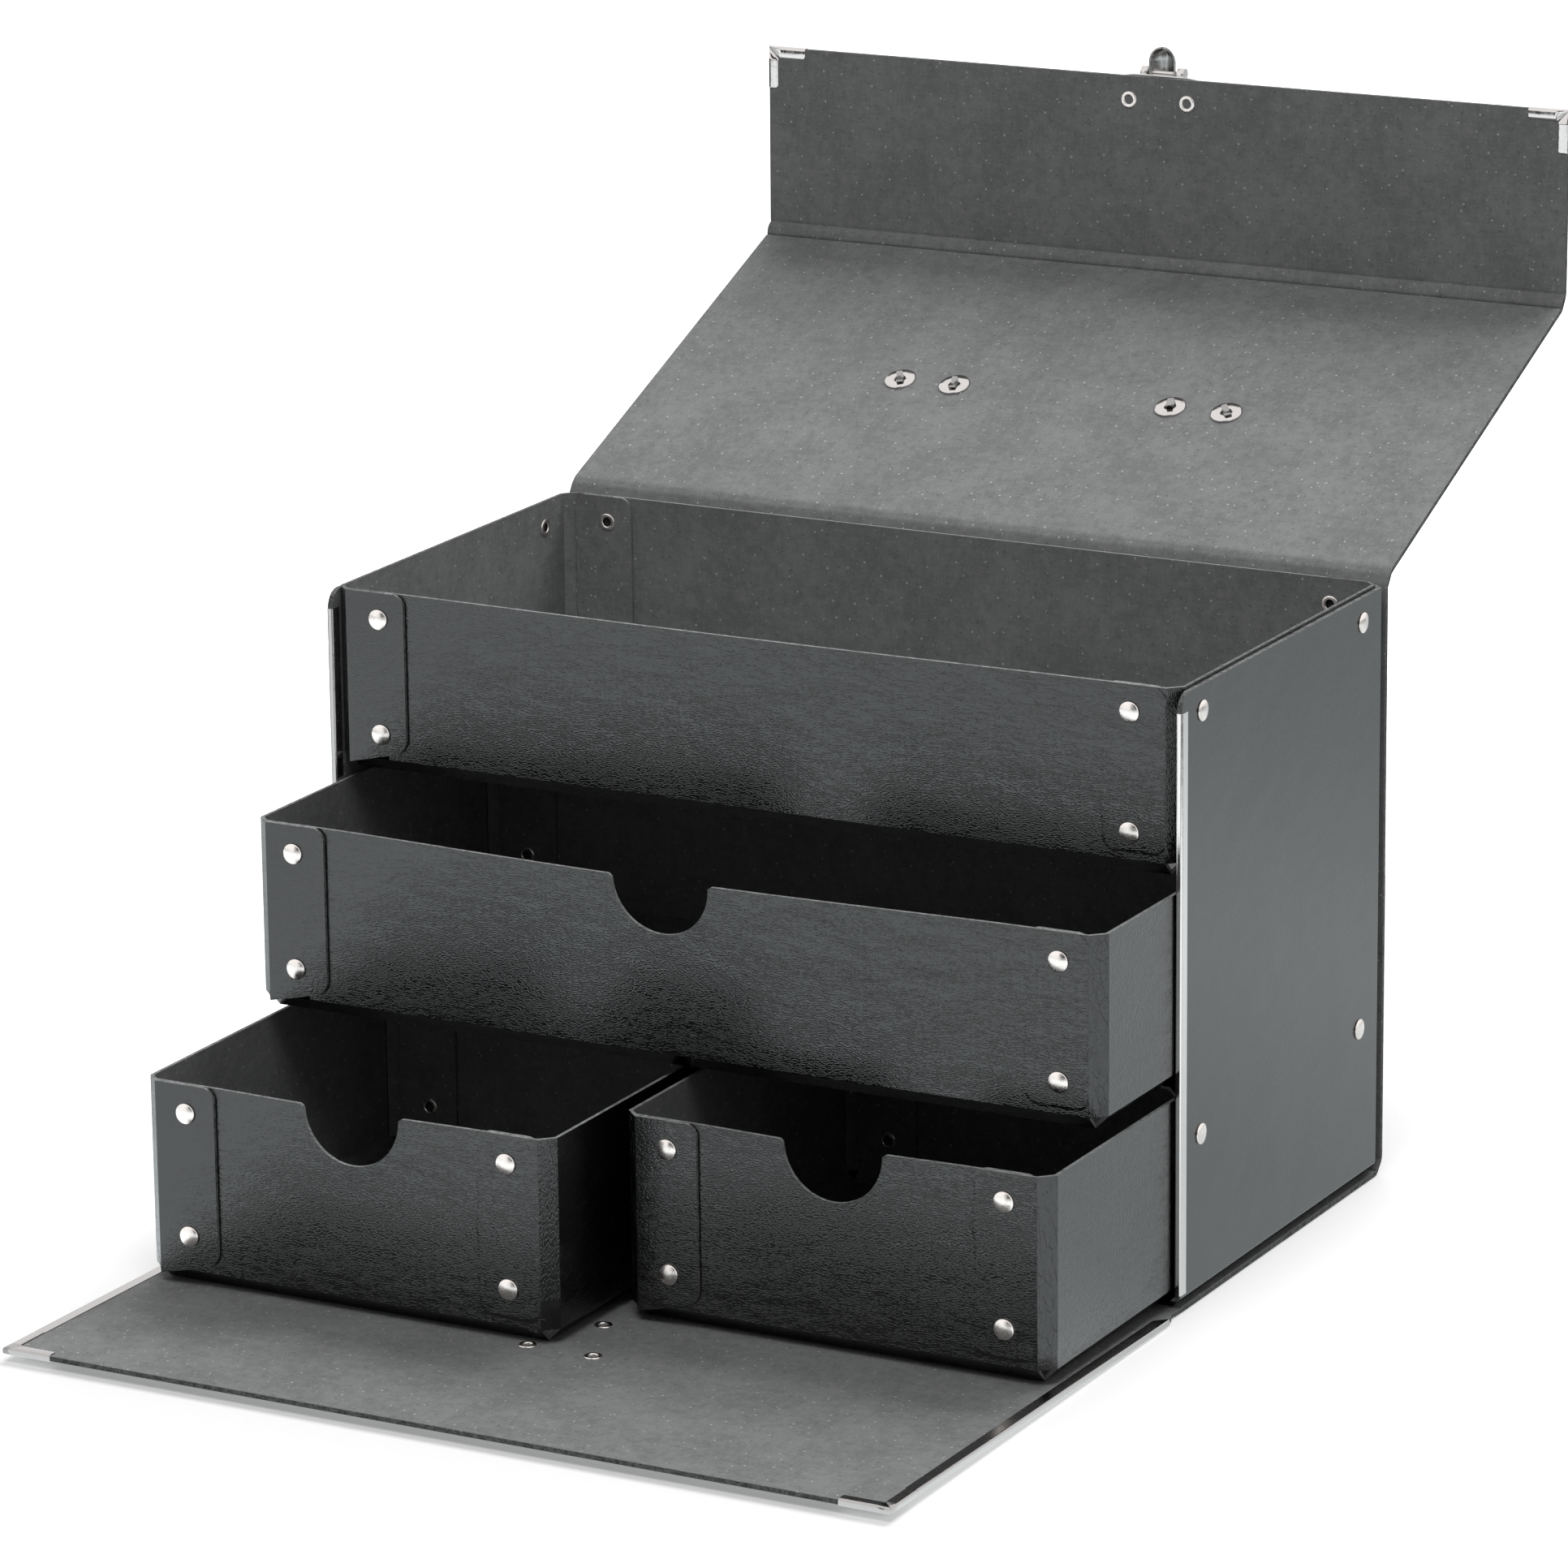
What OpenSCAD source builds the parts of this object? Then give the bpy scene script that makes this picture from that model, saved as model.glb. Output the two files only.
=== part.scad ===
// Folded fibreboard tool box with a top tray, three drawers, a wrap-round board and a latch flap.
// Millimetres. X is the width, Y runs from front to back, Z is up.
// The origin is the centre of the underside of the bottom board.

/* [Board] */
// Thickness of the wrap board and of the side panels
board_t = 2; // [1.8:0.05:2.2]
// Thickness of the tray and drawer board
sheet_t = 1.4; // [1.2:0.05:1.5]
// Thickness of the shelf board
shelf_t = 1; // [0.8:0.05:1.2]

/* [Box] */
// Width over the two side panels
box_w = 360; // [330:1:400]
// Depth from the middle of the closed front panel to the middle of the back
wrap_depth = 187.2; // [180:0.1:200]
// Height of the top tray
tray_h = 71.2; // [60:0.1:85]
// Height of the wide drawer
wide_h = 73.7; // [62:0.1:85]
// Height of the two small drawers
small_h = 78.2; // [70:0.1:90]
// Length of the flap from its fold to its free edge
flap_len = 74; // [66:0.5:85]
// Radius of the top front corner of a side panel
panel_corner_r = 7; // [3:0.5:10]

/* [Folds] */
// Leg of the 45 degree fold strips of the wrap board
fold_leg = 4.6; // [4.2:0.1:5.5]
// Leg of the fold at the foot of a side panel
foot_fold_leg = 3.8; // [3:0.1:5]
// Leg of the fold at the back of a side panel
rear_fold_leg = 5.8; // [5:0.1:6]
// Width of the side panel flange that lies on the bottom board
foot_flange_w = 22; // [15:0.5:30]
// Width of the side panel flange that lies on the back
rear_flange_w = 22; // [20:0.5:30]
// Leg of the chamfered corners of the tray and drawers
corner_leg = 5.4; // [4:0.1:7]
// Leg of the folds at the sides of the shelf
shelf_fold_leg = 3.2; // [2:0.1:3.5]

/* [Drawers] */
// How far the wide drawer is pulled out
wide_pull = 62.7; // [0:0.1:100]
// How far the left drawer is pulled out
left_pull = 144.9; // [0:0.1:150]
// How far the right drawer is pulled out
right_pull = 103.3; // [0:0.1:150]
// Radius of the finger notches
notch_r = 20.2; // [14:0.1:24]
// Radius of the lips of the finger notches
notch_lip_r = 2; // [1:0.1:4]
// Width of the riveted corner tabs
tab_w = 25.4; // [20:0.1:30]
// Corner radius of the tabs
tab_r = 5; // [2:0.5:8]

/* [Open angles] */
// Direction of the lid fold strip, measured up from the level
lid_strip_a = 56.4; // [50:0.1:80]
// Direction of the lid
lid_a = 22.8; // [15:0.1:35]
// Direction of the flap fold strip
flap_strip_a = 56.1; // [50:0.1:60]
// Direction of the flap
flap_a = 89.4; // [80:0.1:95]
// Rise of the front fold strip
front_strip_a = 3; // [2.5:0.1:4]
// Rise of the front panel
front_a = 0.7; // [0.6:0.05:0.9]

/* [Rivets] */
// Diameter of the rivet caps
cap_d = 8; // [6:0.1:10]
// Height of the rivet caps
cap_h = 1.6; // [1:0.1:2]
// Diameter of the rivet shanks
shank_d = 4.6; // [4:0.1:5]
// Bore of the rolled rivet ends
eyelet_bore_d = 3.4; // [2.5:0.1:3.6]
// Height of the flat rivet heads under the front panel
low_cap_h = 0.85; // [0.5:0.05:0.9]

/* [Metal edges] */
// Wall of the metal edge trims
trim_wall = 0.3; // [0.2:0.05:0.35]
// Width of the trim legs on the face of the board
trim_leg = 4.4; // [3:0.1:6]
// Arm length of the flap corners
flap_corner_arm = 17; // [12:0.5:25]
// Arm length of the front panel corners
front_corner_arm = 20; // [14:0.5:25]

/* [Latch] */
// Width of the latch base
latch_base_w = 33; // [31:0.5:40]
// Thickness of the latch base
latch_base_t = 0.8; // [0.6:0.1:1.2]
// Reach of the latch lever past the flap edge
lever_reach = 11.4; // [8:0.1:14]
// Outer radius of the trough-shaped lever
lever_r = 6.1; // [5.5:0.1:6.3]
// Diameter of the latch pin
latch_pin_d = 2.4; // [2:0.1:2.8]

/* [Catch] */
// Width of the catch plate
catch_w = 38; // [36:0.5:44]
// Length of the catch plate
catch_len = 50; // [48:0.5:55]
// Thickness of the catch plate
catch_t = 0.7; // [0.5:0.05:0.75]

/* [Handle] */
// Distance of the handle posts from the flap fold
handle_set = 92.6; // [80:0.1:100]
// Distance between the middles of the two handle brackets
handle_span = 120.5; // [100:0.5:140]
// Distance between the two posts of one bracket
post_span = 24.5; // [22:0.1:30]
// Diameter of the bracket wire
post_d = 3.2; // [2.6:0.1:3.6]
// Diameter of the grip
grip_d = 14; // [11:0.5:16]
// Distance from the handle pivot to the middle of the grip
grip_drop = 27; // [22:0.5:32]
// Diameter of the washers
washer_d = 13; // [11:0.5:15]

/* [Hidden] */
$fn = 64;

// Named clearances and overruns
over = 1;
crease_gap = 0.1;
panel_front_gap = 1.2;
stack_gap = 0.3;
shelf_gap = 3.5;
tray_gap = 5;
lid_gap = 0.8;
panel_drop = 1.2;
flap_gap = 0.6;
front_top_gap = 2.4;
wrap_inset = 0.8;
front_overhang = 1.2;
tray_side_gap = 0.2;
wide_side_gap = 0.65;
small_side_gap = 0.2;
drawer_middle_gap = 3.5;
drawer_inset = 1;
tray_inset = 0.8;
drawer_back_gap = 3;
shelf_inset = 2;
shelf_rear_gap = 1;
divider_inset = 4;
fold_clear = 0.3;
rivet_fit = 0.1;
trim_fit = 0.05;
pin_fit = 0.08;

// Widths
half_w = box_w / 2;
side_mid = half_w - board_t / 2;
side_in = half_w - board_t;
wrap_w = box_w - 2 * wrap_inset;
front_w = box_w + 2 * front_overhang;

// Depths
front_mid = -wrap_depth / 2;
back_mid = wrap_depth / 2;
panel_front = front_mid + board_t / 2 + panel_front_gap;
back_in = back_mid - board_t / 2;
back_out = back_mid + board_t / 2;
flange_in = back_in - board_t;
panel_rear = back_in - board_t / 2 - rear_fold_leg;
drawer_depth = flange_in - panel_front - drawer_inset - drawer_back_gap;

// Heights, from the bottom up
base_mid = board_t / 2;
foot_mid = board_t + board_t / 2;
panel_foot = foot_mid + foot_fold_leg;
small_z = 2 * board_t + stack_gap;
shelf_under = small_z + small_h + shelf_gap;
shelf_top = shelf_under + shelf_t;
wide_z = shelf_top + stack_gap;
tray_z = wide_z + wide_h + tray_gap;
tray_top = tray_z + tray_h;
panel_top = tray_top - panel_drop;
lid_mid = tray_top + lid_gap + board_t / 2;

// Lengths of the wrap's panels
strip_len = fold_leg * sqrt(2);
crease_in = board_t / 2 / cos(22.5) + crease_gap;
lid_len = wrap_depth - 2 * fold_leg + board_t + flap_gap;
front_len = tray_top + lid_gap - front_top_gap - base_mid - fold_leg;

// Crease lines as [y, z] at the open pose
lid_crease_1 = [back_mid, lid_mid - fold_leg];
lid_crease_2 = along(lid_crease_1, lid_strip_a, strip_len);
flap_crease_1 = along(lid_crease_2, lid_a, lid_len);
flap_crease_2 = along(flap_crease_1, flap_strip_a, strip_len);
front_crease_1 = [front_mid + fold_leg, base_mid];
front_crease_2 = along(front_crease_1, 180 - front_strip_a, strip_len);

// Tray and drawer widths and places
tray_w = 2 * (side_in - tray_side_gap);
wide_w = 2 * (side_in - wide_side_gap);
small_out = side_in - shelf_t - small_side_gap;
small_w = small_out - drawer_middle_gap;
small_x = (small_out + drawer_middle_gap) / 2;
tray_y = panel_front + tray_inset;
tray_depth = flange_in - tray_y;
closed_y = panel_front + drawer_inset;
left_notch_shift = 3.4;
notch_sink = 0.9;
tab_foot_gap = 3;

// Rivet places: from the side, from the top and from the underside of a tray or drawer
tray_rivet_in = 19.8;
tray_rivet_top = 10.4;
tray_rivet_low = 15.5;
wide_rivet_in = 17.4;
small_rivet_in = 18.6;
drawer_rivet_top = 11;
wide_rivet_low = 17.4;
small_rivet_low = 19.3;
side_rivet_front = 17;
side_rivet_back = 160;
side_rivet_top = 10.8;
shelf_rivet_drop = 20.5;
shelf_flange_drop = 31;
back_rivet_low = 40;
back_rivet_mid = 115;
ring_r = 0.75;

// Divider between the small drawers
divider_flange_w = 24;

// Metal edges
trim_bend = 0.8;
trim_out = trim_fit + trim_wall;
trim_foot_gap = 0.7;
trim_crease_gap = 8;
corner_round_r = 2;

// Latch, along the flap from its free edge
latch_plate_len = 17;
latch_plate_past = 0.8;
latch_rivet_x = 13;
latch_rivet_in = 9.75;
lug_inner_gap = 0.5;
lug_w = 3;
lug_r = 2.6;
pin_past = 1.2;
pin_rise = 2.8;
lever_wall = 0.8;
lever_heel = 1.7;
lever_tip_r = 5.2;
trough_lip = 2.2;

// Catch, along the front panel from its free edge
catch_rivet_x = 13.7;
catch_rivet_near = 90;
catch_rivet_far = 121.7;
catch_start = 79;
catch_round_r = 6;
nib_w = 9;
nib_len = 4;
nib_h = 1.1;
nib_in = 2;

// Handle
bar_rise = 5;
eye_r = 4.2;
eye_w = 14;
grip_end_r = 3;
grip_arm_t = 6;
washer_t = 1;
prong_t = 0.8;
prong_w = 2.4;
prong_len = 4.4;
handle_y = lid_len - handle_set;

// Colours
board_col = [0.16, 0.16, 0.17];
inner_col = [0.25, 0.25, 0.26];
chrome_col = [0.8, 0.8, 0.82];
dark_metal_col = [0.35, 0.35, 0.36];
rubber_col = [0.08, 0.08, 0.08];

function along(p, a, d) = p + d * [cos(a), sin(a)];

// Extrudes a [y, z] outline along X, centred
module along_x(len) rotate([90, 0, 90]) linear_extrude(len, center = true) children();

// Extrudes an [x, z] outline along Y, from zero to len
module along_y(len) translate([0, len, 0]) rotate([90, 0, 0]) linear_extrude(len) children();

// A frame at a crease: Y along the panel, Z out of its inner face
module at_crease(p, a) translate([0, p.x, p.y]) rotate([a, 0, 0]) children();

module both_sides() {
    children();
    mirror([1, 0, 0]) children();
}

// A straight run of board seen on its edge. A round end has its middle drawn in from the end point.
module run2d(p, q, t, p_in = 0, q_in = 0, q_round = true) {
    run = norm(q - p);
    translate(p)
        rotate(atan2(q.y - p.y, q.x - p.x)) {
            translate([p_in, -t / 2])
                square([run - p_in - q_in, t]);
            translate([p_in, 0])
                circle(d = t);
            if (q_round)
                translate([run - q_in, 0])
                    circle(d = t);
        }
}

// Rounded rectangle from the origin corner
module round_rect(size, r) {
    translate([r, 0])
        square([size.x - 2 * r, size.y]);
    translate([0, r])
        square([size.x, size.y - 2 * r]);
    for (x = [r, size.x - r])
        for (y = [r, size.y - r])
            translate([x, y])
                circle(r);
}

// A rivet along Z: its cap sits on z = 0 and its rolled end closes on z = -grip
module rivet(grip, cap = cap_h, ring = true) {
    cap_r = cap_d / 2;
    ball_r = (cap_r * cap_r + cap * cap) / (2 * cap);
    shank_r = shank_d / 2;
    bore_r = eyelet_bore_d / 2;
    tail = ring ? ring_r : 0;
    rotate_extrude() {
        intersection() {
            translate([0, cap - ball_r])
                circle(ball_r);
            square([cap_r, cap]);
        }
        translate([bore_r, -grip - tail])
            square([shank_r - bore_r, grip + tail]);
        translate([0, -sheet_t])
            square([shank_r, sheet_t]);
        if (ring)
            intersection() {
                translate([bore_r + ring_r, -grip])
                    circle(ring_r);
                translate([bore_r, -grip - ring_r])
                    square([2 * ring_r, ring_r]);
            }
    }
}

module rivet_hole(depth)
    translate([0, 0, -depth - over])
        cylinder(d = shank_d + 2 * rivet_fit, h = depth + 2 * over);

// Outline of a folded tray from above, drawn in by t from its outside when inner
module tray_plan(w, d, inner) {
    t = sheet_t;
    c = corner_leg;
    k = sqrt(2) * t;
    half = inner
        ? [[-w / 2 + t, c + k - t], [-w / 2 + c + k - 2 * t, 2 * t],
           [w / 2 - c - k + t, 2 * t], [w / 2 - t, t + c + k - t]]
        : [[-w / 2, c], [-w / 2 + c, 0], [-w / 2 + c, t],
           [w / 2 - c, t], [w / 2, t + c]];
    rear = [for (p = half) [-p.x, d - p.y]];
    polygon(concat(half, rear));
}

// Section of a folded tray across x or y; edge is how far the wall stands in from each end
module tray_section(len, h, inner, edge = 0) {
    t = sheet_t;
    c = corner_leg;
    k = sqrt(2) * t;
    e = edge;
    if (inner)
        polygon([[e + t, h + over], [e + t, c + k - t], [e + c + k - t, t],
                 [len - e - c - k + t, t], [len - e - t, c + k - t], [len - e - t, h + over]]);
    else
        polygon([[0, h], [0, c], [e, c], [e + c, 0],
                 [len - e - c, 0], [len - e, c], [len, c], [len, h]]);
}

// The space inside or outside a folded tray
module tray_body(w, d, h, inner) {
    intersection() {
        linear_extrude(h + (inner ? over : 0))
            tray_plan(w, d, inner);
        translate([-w / 2, 0, 0])
            along_y(d)
                tray_section(w, h, inner);
        along_x(w)
            tray_section(d, h, inner, sheet_t);
    }
}

// The outer and inner corner tabs of one end: left in front of the wall, right behind it
module end_tabs(w, h) {
    tab_h = h - corner_leg - tab_foot_gap;
    translate([-w / 2 + corner_leg - tab_r, 0, h - tab_h])
        intersection() {
            along_y(sheet_t)
                round_rect([tab_w + tab_r, tab_h], tab_r);
            translate([tab_r, -over, -over])
                cube([tab_w + over, sheet_t + 2 * over, tab_h + 2 * over]);
        }
    translate([w / 2 - corner_leg - tab_w, 2 * sheet_t, h - tab_h])
        along_y(sheet_t)
            round_rect([tab_w, tab_h], tab_r);
}

// One folded sheet: floor, four walls, chamfered corners and riveted tabs
module folded_tray(w, d, h, rivet_in, rivet_top, rivet_low) {
    difference() {
        union() {
            difference() {
                tray_body(w, d, h, false);
                tray_body(w, d, h, true);
            }
            end_tabs(w, h);
            translate([0, d, 0])
                rotate(180)
                    end_tabs(w, h);
        }
        for (x = [-w / 2, w / 2 - corner_leg])
            for (y = [0, d - corner_leg - sheet_t])
                translate([x, y, 0])
                    translate([x < 0 ? -over : 0, y > 0 ? 0 : -over, -over])
                        cube([corner_leg + over, corner_leg + sheet_t + over, corner_leg + over]);
        for (x = [-w / 2 + rivet_in, w / 2 - rivet_in])
            for (z = [rivet_low, h - rivet_top])
                for (y = [0, d - 3 * sheet_t])
                    translate([x, y, z])
                        rotate([90, 0, 0])
                            rivet_hole(3 * sheet_t);
    }
}

// Rivets at one end of a tray or drawer
module end_rivets(w, h, rivet_in, rivet_top, rivet_low) {
    for (z = [rivet_low, h - rivet_top]) {
        translate([-w / 2 + rivet_in, 0, z])
            rotate([90, 0, 0])
                rivet(2 * sheet_t);
        translate([w / 2 - rivet_in, sheet_t, z])
            rotate([90, 0, 0])
                rivet(2 * sheet_t);
    }
}

module drawer_rivets(w, d, h, rivet_in, rivet_top, rivet_low) {
    end_rivets(w, h, rivet_in, rivet_top, rivet_low);
    translate([0, d, 0])
        rotate(180)
            end_rivets(w, h, rivet_in, rivet_top, rivet_low);
}

// Cutter for a finger notch in a front wall whose top edge is at z = h
module finger_notch(h)
    translate([0, -over, h])
        along_y(3 * sheet_t + over) {
            translate([0, -notch_sink])
                circle(notch_r);
            translate([-notch_r, -notch_sink])
                square([2 * notch_r, notch_sink + over]);
            for (s = [-1, 1])
                difference() {
                    translate([s * (notch_r + notch_lip_r / 2), over / 2 - notch_lip_r / 2])
                        square([notch_lip_r, notch_lip_r + over], center = true);
                    translate([s * (notch_r + notch_lip_r), -notch_lip_r])
                        circle(notch_lip_r);
                }
        }

// U channel over a board edge that lies on x = 0, with the board towards -x
module channel2d() {
    half = board_t / 2 + trim_out;
    difference() {
        union() {
            translate([-trim_leg, -half])
                square([trim_leg + trim_out - trim_bend, 2 * half]);
            translate([-trim_leg, -half + trim_bend])
                square([trim_leg + trim_out, 2 * (half - trim_bend)]);
            for (s = [-1, 1])
                translate([trim_out - trim_bend, s * (half - trim_bend)])
                    circle(trim_bend);
        }
        translate([-trim_leg - over, -half + trim_wall])
            square([trim_leg + over + trim_fit, 2 * (half - trim_wall)]);
    }
}

// Metal corner over a board corner at the origin, with the board towards -x and -y
module corner_guard(arm) {
    half = board_t / 2 + trim_out;
    reach = arm - trim_out;
    difference() {
        linear_extrude(2 * half, center = true)
            difference() {
                union() {
                    translate([-reach, trim_out - corner_round_r])
                        translate([0, corner_round_r - trim_leg - trim_out])
                            square([reach + trim_out - corner_round_r, trim_leg + trim_out]);
                    translate([-trim_leg, -reach])
                        square([trim_leg + trim_out, reach + trim_out - corner_round_r]);
                    translate([trim_out - corner_round_r, trim_out - corner_round_r])
                        circle(corner_round_r);
                }
                translate([-reach, -trim_leg])
                    rotate(45)
                        square(trim_leg, center = true);
                translate([-trim_leg, -reach])
                    rotate(45)
                        square(trim_leg, center = true);
            }
        translate([-arm - over, -arm - over, -half + trim_wall])
            linear_extrude(2 * (half - trim_wall))
                round_corner_square(arm + over + trim_fit, corner_round_r - trim_wall);
    }
}

// Square from the origin with its far corner rounded
module round_corner_square(len, r) {
    square([len - r, len]);
    square([len, len - r]);
    translate([len - r, len - r])
        circle(r);
}

// Board corner cut round to suit a metal corner, centred on the free end of a panel
module panel_board(w, len, q_in = 0) {
    r = corner_round_r - trim_out;
    difference() {
        along_x(w)
            run2d([0, 0], [len, 0], board_t, crease_in, q_in, q_in > 0);
        if (q_in == 0)
            both_sides()
                translate([w / 2 - r, len - r, -board_t])
                    difference() {
                        cube([r + over, r + over, 2 * board_t]);
                        translate([0, 0, -over])
                            cylinder(r = r, h = 2 * board_t + 2 * over);
                    }
    }
}

module base_wrap()
    color(board_col)
        difference() {
            along_x(wrap_w) {
                run2d(front_crease_1, [back_mid - fold_leg, base_mid], board_t, crease_in);
                run2d([back_mid - fold_leg, base_mid], [back_mid, base_mid + fold_leg], board_t);
                run2d([back_mid, base_mid + fold_leg], lid_crease_1, board_t, 0, crease_in);
            }
            back_rivet_holes();
        }

module fold_strip(p, q)
    color(board_col)
        along_x(wrap_w)
            run2d(p, q, board_t, crease_in, crease_in);

module front_fold_strip() fold_strip(front_crease_1, front_crease_2);

module lid_fold_strip() fold_strip(lid_crease_1, lid_crease_2);

module flap_fold_strip() fold_strip(flap_crease_1, flap_crease_2);

// The front panel's own frame, with Y from its fold to its free edge
module at_front() at_crease(front_crease_2, -front_a) mirror([0, 1, 0]) children();

module at_lid() at_crease(lid_crease_2, lid_a) children();

module at_flap() at_crease(flap_crease_2, flap_a) children();

catch_rivets_at = [
    [-catch_rivet_x, catch_rivet_near], [catch_rivet_x, catch_rivet_near], [0, catch_rivet_far]
];

module front_panel()
    color(inner_col)
        at_front()
            difference() {
                panel_board(front_w, front_len);
                for (p = catch_rivets_at)
                    translate([p.x, front_len - p.y, board_t / 2])
                        rivet_hole(board_t);
            }

module lid_panel()
    color(inner_col)
        at_lid()
            difference() {
                panel_board(wrap_w, lid_len, crease_in);
                for (x = post_places)
                    translate([x, handle_y, -board_t])
                        cylinder(d = post_d + 2 * rivet_fit, h = 2 * board_t);
            }

module flap_panel()
    color(inner_col)
        at_flap()
            difference() {
                panel_board(wrap_w, flap_len);
                both_sides()
                    translate([latch_rivet_x, flap_len - latch_rivet_in, board_t / 2])
                        rivet_hole(board_t);
            }

// Cutter for the room that a fold strip takes when its panel is closed. The box lies on the
// strip's +Z side, or on its other side after a half turn.
module closed_fold_room(p, turn = 0)
    at_crease(p, 135)
        rotate([0, turn, 0])
            translate([-box_w, -strip_len, -3 * board_t])
                cube([2 * box_w, 3 * strip_len, 3.5 * board_t + fold_clear]);

// A side panel on the right: flat side, foot flange and rear flange, folded from one sheet
module side_panel()
    difference() {
        union() {
            translate([side_mid, 0, 0])
                along_x(board_t)
                    difference() {
                        translate([panel_front, panel_foot])
                            square([panel_rear - panel_front, panel_top - panel_foot]);
                        translate([panel_front - over, panel_top - panel_corner_r])
                            difference() {
                                square([panel_corner_r + over, panel_corner_r + over]);
                                translate([panel_corner_r + over, 0])
                                    circle(panel_corner_r);
                            }
                    }
            translate([0, panel_front, 0])
                along_y(panel_rear - panel_front) {
                    foot_in = [side_mid - foot_fold_leg, foot_mid];
                    run2d([side_mid, panel_foot], foot_in, board_t);
                    run2d(foot_in, foot_in - [foot_flange_w, 0], board_t);
                }
            translate([0, 0, panel_foot])
                linear_extrude(panel_top - panel_foot) {
                    rear_in = [side_mid - rear_fold_leg, back_in - board_t / 2];
                    run2d([side_mid, panel_rear], rear_in, board_t);
                    run2d(rear_in, rear_in - [rear_flange_w, 0], board_t);
                }
        }
        side_rivet_holes();
        back_rivet_holes();
        closed_fold_room(lid_crease_1);
        closed_fold_room(front_crease_1, 180);
    }

module right_side_panel() color(board_col) side_panel();

module left_side_panel() color(board_col) mirror([1, 0, 0]) side_panel();

side_rivets_upper_z = tray_top - side_rivet_top;
side_rivets_lower_z = shelf_under - shelf_rivet_drop;

module side_rivet_holes()
    for (y = [side_rivet_front, side_rivet_back])
        for (z = [side_rivets_upper_z, side_rivets_lower_z])
            translate([half_w, panel_front + y, z])
                rotate([0, 90, 0])
                    rivet_hole(board_t + tray_side_gap + sheet_t + over);

module side_rivets()
    color(chrome_col)
        both_sides()
            for (y = [side_rivet_front, side_rivet_back])
                translate([half_w, panel_front + y, 0]) {
                    translate([0, 0, side_rivets_upper_z])
                        rotate([0, 90, 0])
                            rivet(board_t + tray_side_gap + sheet_t);
                    translate([0, 0, side_rivets_lower_z])
                        rotate([0, 90, 0])
                            rivet(board_t + shelf_t, ring = false);
                }

back_rivet_x = tray_w / 2 - tray_rivet_in;
back_rivets_upper = [tray_z + tray_rivet_low, tray_top - tray_rivet_top];
back_rivets_lower = [back_rivet_low, back_rivet_mid];

module back_rivet_holes()
    for (x = [-back_rivet_x, back_rivet_x])
        for (z = concat(back_rivets_upper, back_rivets_lower))
            translate([x, back_out, z])
                rotate([-90, 0, 0])
                    rivet_hole(2 * board_t);

// The rivets behind the tray take in its back, the flange and the back board
module back_rivets()
    color(chrome_col) {
        for (x = [-back_rivet_x, back_rivet_x]) {
            for (z = back_rivets_upper)
                translate([x, back_out, z])
                    rotate([-90, 0, 0])
                        rivet(2 * board_t + (x > 0 ? 2 : 3) * sheet_t);
            for (z = back_rivets_lower)
                translate([x, back_out, z])
                    rotate([-90, 0, 0])
                        rivet(2 * board_t);
        }
    }

module right_edge_trim()
    color(chrome_col)
        translate([side_mid, panel_front, panel_foot + trim_foot_gap])
            linear_extrude(panel_top - panel_corner_r - panel_foot - trim_foot_gap)
                rotate(-90)
                    channel2d();

module left_edge_trim() mirror([1, 0, 0]) right_edge_trim();

// Trim on the right edge of the front panel, cut slanting near the fold
module front_panel_right_trim()
    color(chrome_col)
        at_front()
            translate([front_w / 2, trim_crease_gap, 0])
                difference() {
                    along_y(front_len - trim_crease_gap - front_corner_arm)
                        channel2d();
                    rotate(-45)
                        translate([-2 * trim_leg, -2 * trim_leg, -board_t])
                            cube([2 * trim_leg, 2 * trim_leg, 2 * board_t]);
                }

module front_panel_left_trim() mirror([1, 0, 0]) front_panel_right_trim();

module front_panel_right_corner()
    color(chrome_col)
        at_front()
            translate([front_w / 2, front_len, 0])
                corner_guard(front_corner_arm);

module front_panel_left_corner() mirror([1, 0, 0]) front_panel_right_corner();

module flap_right_corner()
    color(chrome_col)
        at_flap()
            translate([wrap_w / 2, flap_len, 0])
                corner_guard(flap_corner_arm);

module flap_left_corner() mirror([1, 0, 0]) flap_right_corner();

module top_tray()
    color(board_col)
        difference() {
            translate([0, tray_y, tray_z])
                folded_tray(tray_w, tray_depth, tray_h,
                            tray_rivet_in, tray_rivet_top, tray_rivet_low);
            both_sides()
                side_rivet_holes();
            closed_fold_room(lid_crease_1);
        }

module tray_front_rivets()
    color(chrome_col)
        translate([0, tray_y, tray_z])
            end_rivets(tray_w, tray_h, tray_rivet_in, tray_rivet_top, tray_rivet_low);

// Shelf over the small drawers, with a riveted flange down each side panel
module shelf() {
    flange_mid = side_in - shelf_t / 2;
    plate_mid = shelf_top - shelf_t / 2;
    bend = [flange_mid - shelf_fold_leg, plate_mid];
    flange_bend_z = plate_mid - shelf_fold_leg;
    color(board_col)
        difference() {
            translate([0, panel_front + shelf_inset, 0])
                along_y(panel_rear - shelf_rear_gap - panel_front - shelf_inset) {
                    for (s = [-1, 1]) {
                        run2d([s * bend.x, bend.y], [s * flange_mid, flange_bend_z], shelf_t);
                        run2d([s * flange_mid, flange_bend_z],
                              [s * flange_mid, shelf_under - shelf_flange_drop], shelf_t);
                    }
                    run2d([-bend.x, bend.y], bend, shelf_t);
                }
            both_sides() {
                side_rivet_holes();
                translate([side_in - trim_out - trim_fit, panel_front, 0])
                    cube([board_t, trim_leg + trim_fit, tray_top]);
            }
        }
}

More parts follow.
